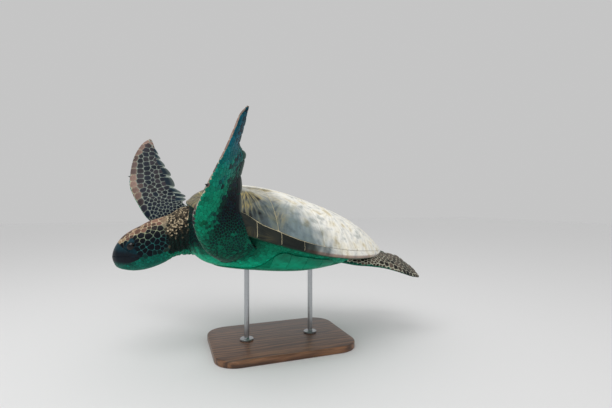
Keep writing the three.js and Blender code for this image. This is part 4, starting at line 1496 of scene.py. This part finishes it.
belly = {1: Plates(), -1: Plates()}
for side, plates in belly.items():
    for number, seams in enumerate(zip(BELLY_SEAMS, BELLY_SEAMS[1:])):
        belly_plate(plates, side, seams, SEAM_BOW[number:number + 2], 0, BRIDGE_INSIDE, MAIN_GROWTH)
    for seams in zip(BRIDGE_SEAMS, BRIDGE_SEAMS[1:]):
        belly_plate(plates, side, seams, (0, 0), BRIDGE_INSIDE, 1, BRIDGE_GROWTH)

belly_horn, shader = new_material("belly_horn", 0.45, 0.2)
growth = noise_node(belly_horn, 4, 5, attribute_node(belly_horn, "streak").outputs["Vector"])
patches = spread(belly_horn, noise_node(belly_horn, 16, 5), 0.35, 0.65, 0.8, 1.15)
brushed = spread(belly_horn, growth, 0.3, 0.7, 0.85, 1.15)
patchy = times(belly_horn, tint_node(belly_horn), patches)
colour_from(belly_horn, shader, times(belly_horn, patchy, brushed))
bump(belly_horn, shader, growth, 0.0003, 0.4)
for side, way in ((1, "left"), (-1, "right")):
    belly[side].make("plates_belly_" + way, belly_colours, belly_horn, "plastron")

# the bed under the plates, whose darker green shows in the seams
bed_stations = (BELLY_SEAMS[0] + (BELLY_SEAMS[-1] - BELLY_SEAMS[0]) * crowded(70))[:, None]
bed_reach = crowded_across(48) * (plastron_reach(bed_stations) * 0.998)
face = belly_point(bed_stations, bed_reach, PLASTRON_BED)
back_face = belly_point(bed_stations, -bed_reach, PLASTRON_BACK)
belly_bed = body_of_rings("belly_bed", np.concatenate([face, back_face], 1))
give_tint(belly_bed.data, np.tile(BELLY_SEAM_GREEN, (len(belly_bed.data.vertices), 1)))
belly_bed.data.materials.append(skin_leather)
smooth(belly_bed, 50)
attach(belly_bed, "root")
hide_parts("plastron")


# ================================================================== eyes
# Large dark eyes, glass on a model as wet cornea in life, sunk between the lids. The iris is a ring of deep
# brown round a pupil that is hardly darker.
CORNEA_RISE = 0.7
PUPIL = 4.2                    # radii, measured over the ball
IRIS = 9.0
IRIS_BROWN = paint(14, 10, 8)
EYE_RIM = paint(10, 16, 18)
EYE_BLACK = paint(4, 5, 7)

eye_glass, shader = new_material("eye_glass", 0.06, 0.25)
colour_from(eye_glass, shader, tint_node(eye_glass))
shader.inputs["Coat Weight"].default_value = 0.12
shader.inputs["Coat Roughness"].default_value = 0.03
for side, way in ((1, "left"), (-1, "right")):
    bpy.ops.object.select_all(action="DESELECT")
    bpy.ops.mesh.primitive_uv_sphere_add(segments=64, ring_count=48, radius=EYE_RADIUS * MM,
                                         rotation=(radians(90), 0, 0))
    eye = bpy.context.object
    eye.name = eye.data.name = "eyeball_" + way
    bpy.ops.object.transform_apply(location=True, rotation=True, scale=True)
    local = np.array([v.co for v in eye.data.vertices]) / MM
    gaze = unit(EYE_LOOK * (1, side, 1))
    facing = np.clip(unit(local) @ gaze, -1, 1)
    off_axis = np.arccos(facing) * EYE_RADIUS
    bulge = CORNEA_RISE * ease(-off_axis, -IRIS * 1.1, -1)
    local = unit(local) * (EYE_RADIUS + bulge)[:, None]
    move(eye, local + EYE * (1, side, 1))
    spokes = 1 + 0.35 * waves(local, 1.6, 2.0)
    iris = mix(IRIS_BROWN, EYE_BLACK, ease(off_axis, IRIS * 0.8, IRIS)) * spokes[:, None]
    colour = mix(EYE_BLACK, iris, ease(off_axis, PUPIL, PUPIL + 0.8))
    give_tint(eye.data, mix(colour, EYE_RIM, ease(off_axis, IRIS, IRIS + 1.5)))
    face_outwards(eye)
    bpy.ops.object.shade_smooth()
    eye.data.materials.append(eye_glass)
    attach(eye, "root")
    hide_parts("eye_" + way)


# ================================================================== claws
# One small curved claw of dark horn on the leading edge of each flipper, brown at its root and black at its
# tip. Each is a row of rings along a hooked spine.
CLAWS = {
    "front_left": ((276, 296, 196), (284, 307, 201), 4),
    "front_right": ((462, -281, 203), (475, -287, 210), 4),
    "hind_left": ((-299, 122, 22), (-301, 134, 17), 3),
    "hind_right": ((-299, -122, 22), (-301, -134, 17), 3),
}
CLAW_HOOK = 2.2
CLAW_FLATNESS = 0.8
CLAW_ROUND = 24                # points round each ring
CLAW_BROWN = paint(46, 50, 46) * 1.6
claw_turn = np.linspace(0, 2 * np.pi, CLAW_ROUND, endpoint=False)[:, None]
way = np.linspace(-0.15, 1, 16)    # from inside the flesh to the tip
grown = np.clip(way, 0, 1)
for name, (root, tip, radius) in CLAWS.items():
    root, tip = np.array(root, float), np.array(tip, float)
    ahead = unit(tip - root)
    tipward = unit(np.cross(ahead, np.cross([0, 0, 1.0], ahead)))
    hook = CLAW_HOOK * np.sin(np.pi * grown)
    spine = root + (tip - root) * way[:, None] + tipward * hook[:, None]
    ring = np.cos(claw_turn) * tipward * CLAW_FLATNESS + np.sin(claw_turn) * np.cross(ahead, tipward)
    width = radius * np.maximum(1 - grown ** 1.6, 0.05)
    piece = body_of_rings("claw_of_" + name, spine[:, None] + ring * width[:, None, None])
    give_tint(piece.data, mix(CLAW_BROWN, BEAK_BLACK, np.repeat(grown, CLAW_ROUND)))
    piece.data.materials.append(beak_horn)
    smooth(piece, 60)
    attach(piece, "root")
    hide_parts("claw_" + name)


# ================================================================== stand base
# An oval-cornered board of oiled walnut, with a small bevel round its top and its foot.
BASE_CORNER = 0.060
BASE_BEVEL = 0.003
WALNUT_COLOURS = [(70, 44, 28), (96, 62, 40), (128, 88, 58)]
low, high = (np.array(corner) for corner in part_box("stand_base"))
bpy.ops.object.select_all(action="DESELECT")
bpy.ops.mesh.primitive_cube_add(size=1, location=(low + high) / 2, scale=high - low)
base = bpy.context.object
base.name = base.data.name = "base_board"
bpy.ops.object.transform_apply(location=True, rotation=True, scale=True)
for bevel_width, segments, upright in ((BASE_CORNER, 16, True), (BASE_BEVEL, 4, False)):
    bpy.ops.object.mode_set(mode="EDIT")
    bpy.ops.mesh.select_mode(type="EDGE")
    bpy.ops.mesh.select_all(action="DESELECT")
    bpy.ops.object.mode_set(mode="OBJECT")
    for edge in base.data.edges:
        a, b = (base.data.vertices[v].co for v in edge.vertices)
        edge.select = (abs(a.z - b.z) > 0.001) == upright
    bpy.ops.object.mode_set(mode="EDIT")
    bpy.ops.mesh.bevel(offset=bevel_width, segments=segments)
    bpy.ops.object.mode_set(mode="OBJECT")
smooth(base, 40)

walnut, shader = new_material("walnut", 0.38)
board_place = grain_place(walnut, (14, 1.2, 14))
bend = noise_node(walnut, 2.2, 4, board_place)
warped = add_node(walnut, "VectorMath", {0: board_place, 1: bend}, operation="ADD").outputs["Vector"]
year_rings = add_node(walnut, "TexWave", {"Vector": warped, "Scale": 1.5, "Distortion": 2.4, "Detail": 3},
                      bands_direction="X").outputs["Fac"]
pores = noise_node(walnut, 1, 2, grain_place(walnut, (900, 28, 900)))
wood = add_node(walnut, "ValToRGB", {"Fac": year_rings})
wood.color_ramp.elements.new(0.45)
for stop, colour in zip(wood.color_ramp.elements, WALNUT_COLOURS):
    stop.color = (*paint(*colour), 1)
pored = times(walnut, wood.outputs["Color"], spread(walnut, pores, 0.35, 0.6, 0.62, 1.08))
colour_from(walnut, shader, pored)
shader.inputs["Coat Weight"].default_value = 0.15
shader.inputs["Coat Roughness"].default_value = 0.3
bump(walnut, shader, pores, 0.0002, 0.3)
base.data.materials.append(walnut)
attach(base, "root")
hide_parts("stand_base")


# ================================================================== stand rods
# Two turned rods of brushed steel, each with a round foot screwed to the board and a pad on top that is cut
# to the belly it carries.
ROD_RADIUS = 0.007
ROD_FILLET = 0.0016            # where a rod leaves its foot
TURNED_EDGE = 0.0012           # bevel of the foot's upper edge
PAD_EDGE = 0.001
FOOT_RADIUS = 0.019
FOOT_HEIGHT = 0.005
PAD_RADIUS = 0.015
PAD_HEIGHT = 0.009
PAD_RINGS = 8
PAD_GAP = 0.00075              # between a pad and the belly that it carries

brushed_steel, shader = new_material("brushed_steel", 0.32)
shader.inputs["Metallic"].default_value = 1.0
turning_lines = noise_node(brushed_steel, 1, 2, grain_place(brushed_steel, (40, 40, 2600)))
steel = add_node(brushed_steel, "ValToRGB", {"Fac": turning_lines})
for stop, colour in zip(steel.color_ramp.elements, ((150, 153, 156), (200, 203, 206))):
    stop.color = (*paint(*colour), 1)
colour_from(brushed_steel, shader, steel.outputs["Color"])
bump(brushed_steel, shader, turning_lines, 0.00005, 0.4)
belly_surface = surface_of([v.co[:] for v in belly_bed.data.vertices], belly_bed)
for way in ("front", "rear"):
    low, high = (np.array(corner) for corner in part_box("stand_rod_" + way))
    x, y = ((low + high) / 2)[:2]
    bottom, top = low[2], high[2]
    foot, pad = bottom + FOOT_HEIGHT, top - PAD_HEIGHT
    outline = [(0, bottom), (FOOT_RADIUS - TURNED_EDGE, bottom), (FOOT_RADIUS, bottom + 0.0008),
               (FOOT_RADIUS, foot - TURNED_EDGE), (FOOT_RADIUS - TURNED_EDGE, foot),
               (ROD_RADIUS + ROD_FILLET, foot), (ROD_RADIUS, foot + ROD_FILLET),
               (ROD_RADIUS, pad - ROD_RADIUS), (PAD_RADIUS - PAD_EDGE, pad),
               (PAD_RADIUS, pad + PAD_EDGE), (PAD_RADIUS, top - 0.004)]
    outline += [(PAD_RADIUS * (1 - k / PAD_RINGS), top) for k in range(PAD_RINGS + 1)]
    mesh = bpy.data.meshes.new("rod_" + way)
    mesh.from_pydata([(x + r, y, z) for r, z in outline], [(k, k + 1) for k in range(len(outline) - 1)], [])
    rod = bpy.data.objects.new("rod_" + way, mesh)
    bpy.context.scene.collection.objects.link(rod)
    pick(rod)
    bpy.ops.object.mode_set(mode="EDIT")
    bpy.ops.mesh.select_all(action="SELECT")
    bpy.ops.mesh.spin(steps=64, angle=2 * np.pi, center=(x, y, 0), axis=(0, 0, 1))
    bpy.ops.mesh.select_all(action="SELECT")
    bpy.ops.mesh.remove_doubles(threshold=0.00001)
    bpy.ops.mesh.normals_make_consistent(inside=False)
    bpy.ops.object.mode_set(mode="OBJECT")
    for vertex in rod.data.vertices:
        if vertex.co.z > top - 0.0001:
            hit = belly_surface.ray_cast((vertex.co.x, vertex.co.y, 0.1), (0, 0, 1))[0]
            vertex.co.z = min(hit.z - PAD_GAP, top)
    smooth(rod, 35)
    rod.data.materials.append(brushed_steel)
    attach(rod, "root")
    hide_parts("stand_rod_" + way)


# ================================================================== floor and light
# A plain pale floor, an even sky and one large soft lamp. What the camera, the gloss and clear parts see
# behind the turtle is a grey of its own, apart from the light that the sky gives.
bpy.ops.object.select_all(action="DESELECT")
bpy.ops.mesh.primitive_plane_add(size=16, location=(0, 0, 0))
floor = bpy.context.object
floor.name = "floor"
floor_paint, shader = new_material("floor_paint", 0.8)
shader.inputs["Base Color"].default_value = (0.72, 0.72, 0.72, 1)
floor.data.materials.append(floor_paint)

world = bpy.data.worlds.new("studio")
world.use_nodes = True
bpy.context.scene.world = world
nodes, links = world.node_tree.nodes, world.node_tree.links
sky = nodes["Background"]
sky.inputs["Color"].default_value = (1, 1, 1, 1)
sky.inputs["Strength"].default_value = 0.76
backdrop = nodes.new("ShaderNodeBackground")
backdrop.inputs["Color"].default_value = (0.56, 0.56, 0.56, 1)
backdrop.inputs["Strength"].default_value = 1.0
light_path = nodes.new("ShaderNodeLightPath")
seen = light_path.outputs["Is Camera Ray"]
for kind in ("Is Glossy Ray", "Is Transmission Ray"):
    either = nodes.new("ShaderNodeMath")
    either.operation = "MAXIMUM"
    links.new(seen, either.inputs[0])
    links.new(light_path.outputs[kind], either.inputs[1])
    seen = either.outputs[0]
choose = nodes.new("ShaderNodeMixShader")
links.new(seen, choose.inputs[0])
links.new(sky.outputs[0], choose.inputs[1])
links.new(backdrop.outputs[0], choose.inputs[2])
links.new(choose.outputs[0], nodes["World Output"].inputs["Surface"])

bpy.ops.object.light_add(type="AREA", location=(0.9, -0.9, 2.2), rotation=(radians(38), 0, radians(45)))
lamp = bpy.context.object
lamp.data.size = 1.6
lamp.data.energy = 27
bpy.context.scene.view_settings.view_transform = "Standard"
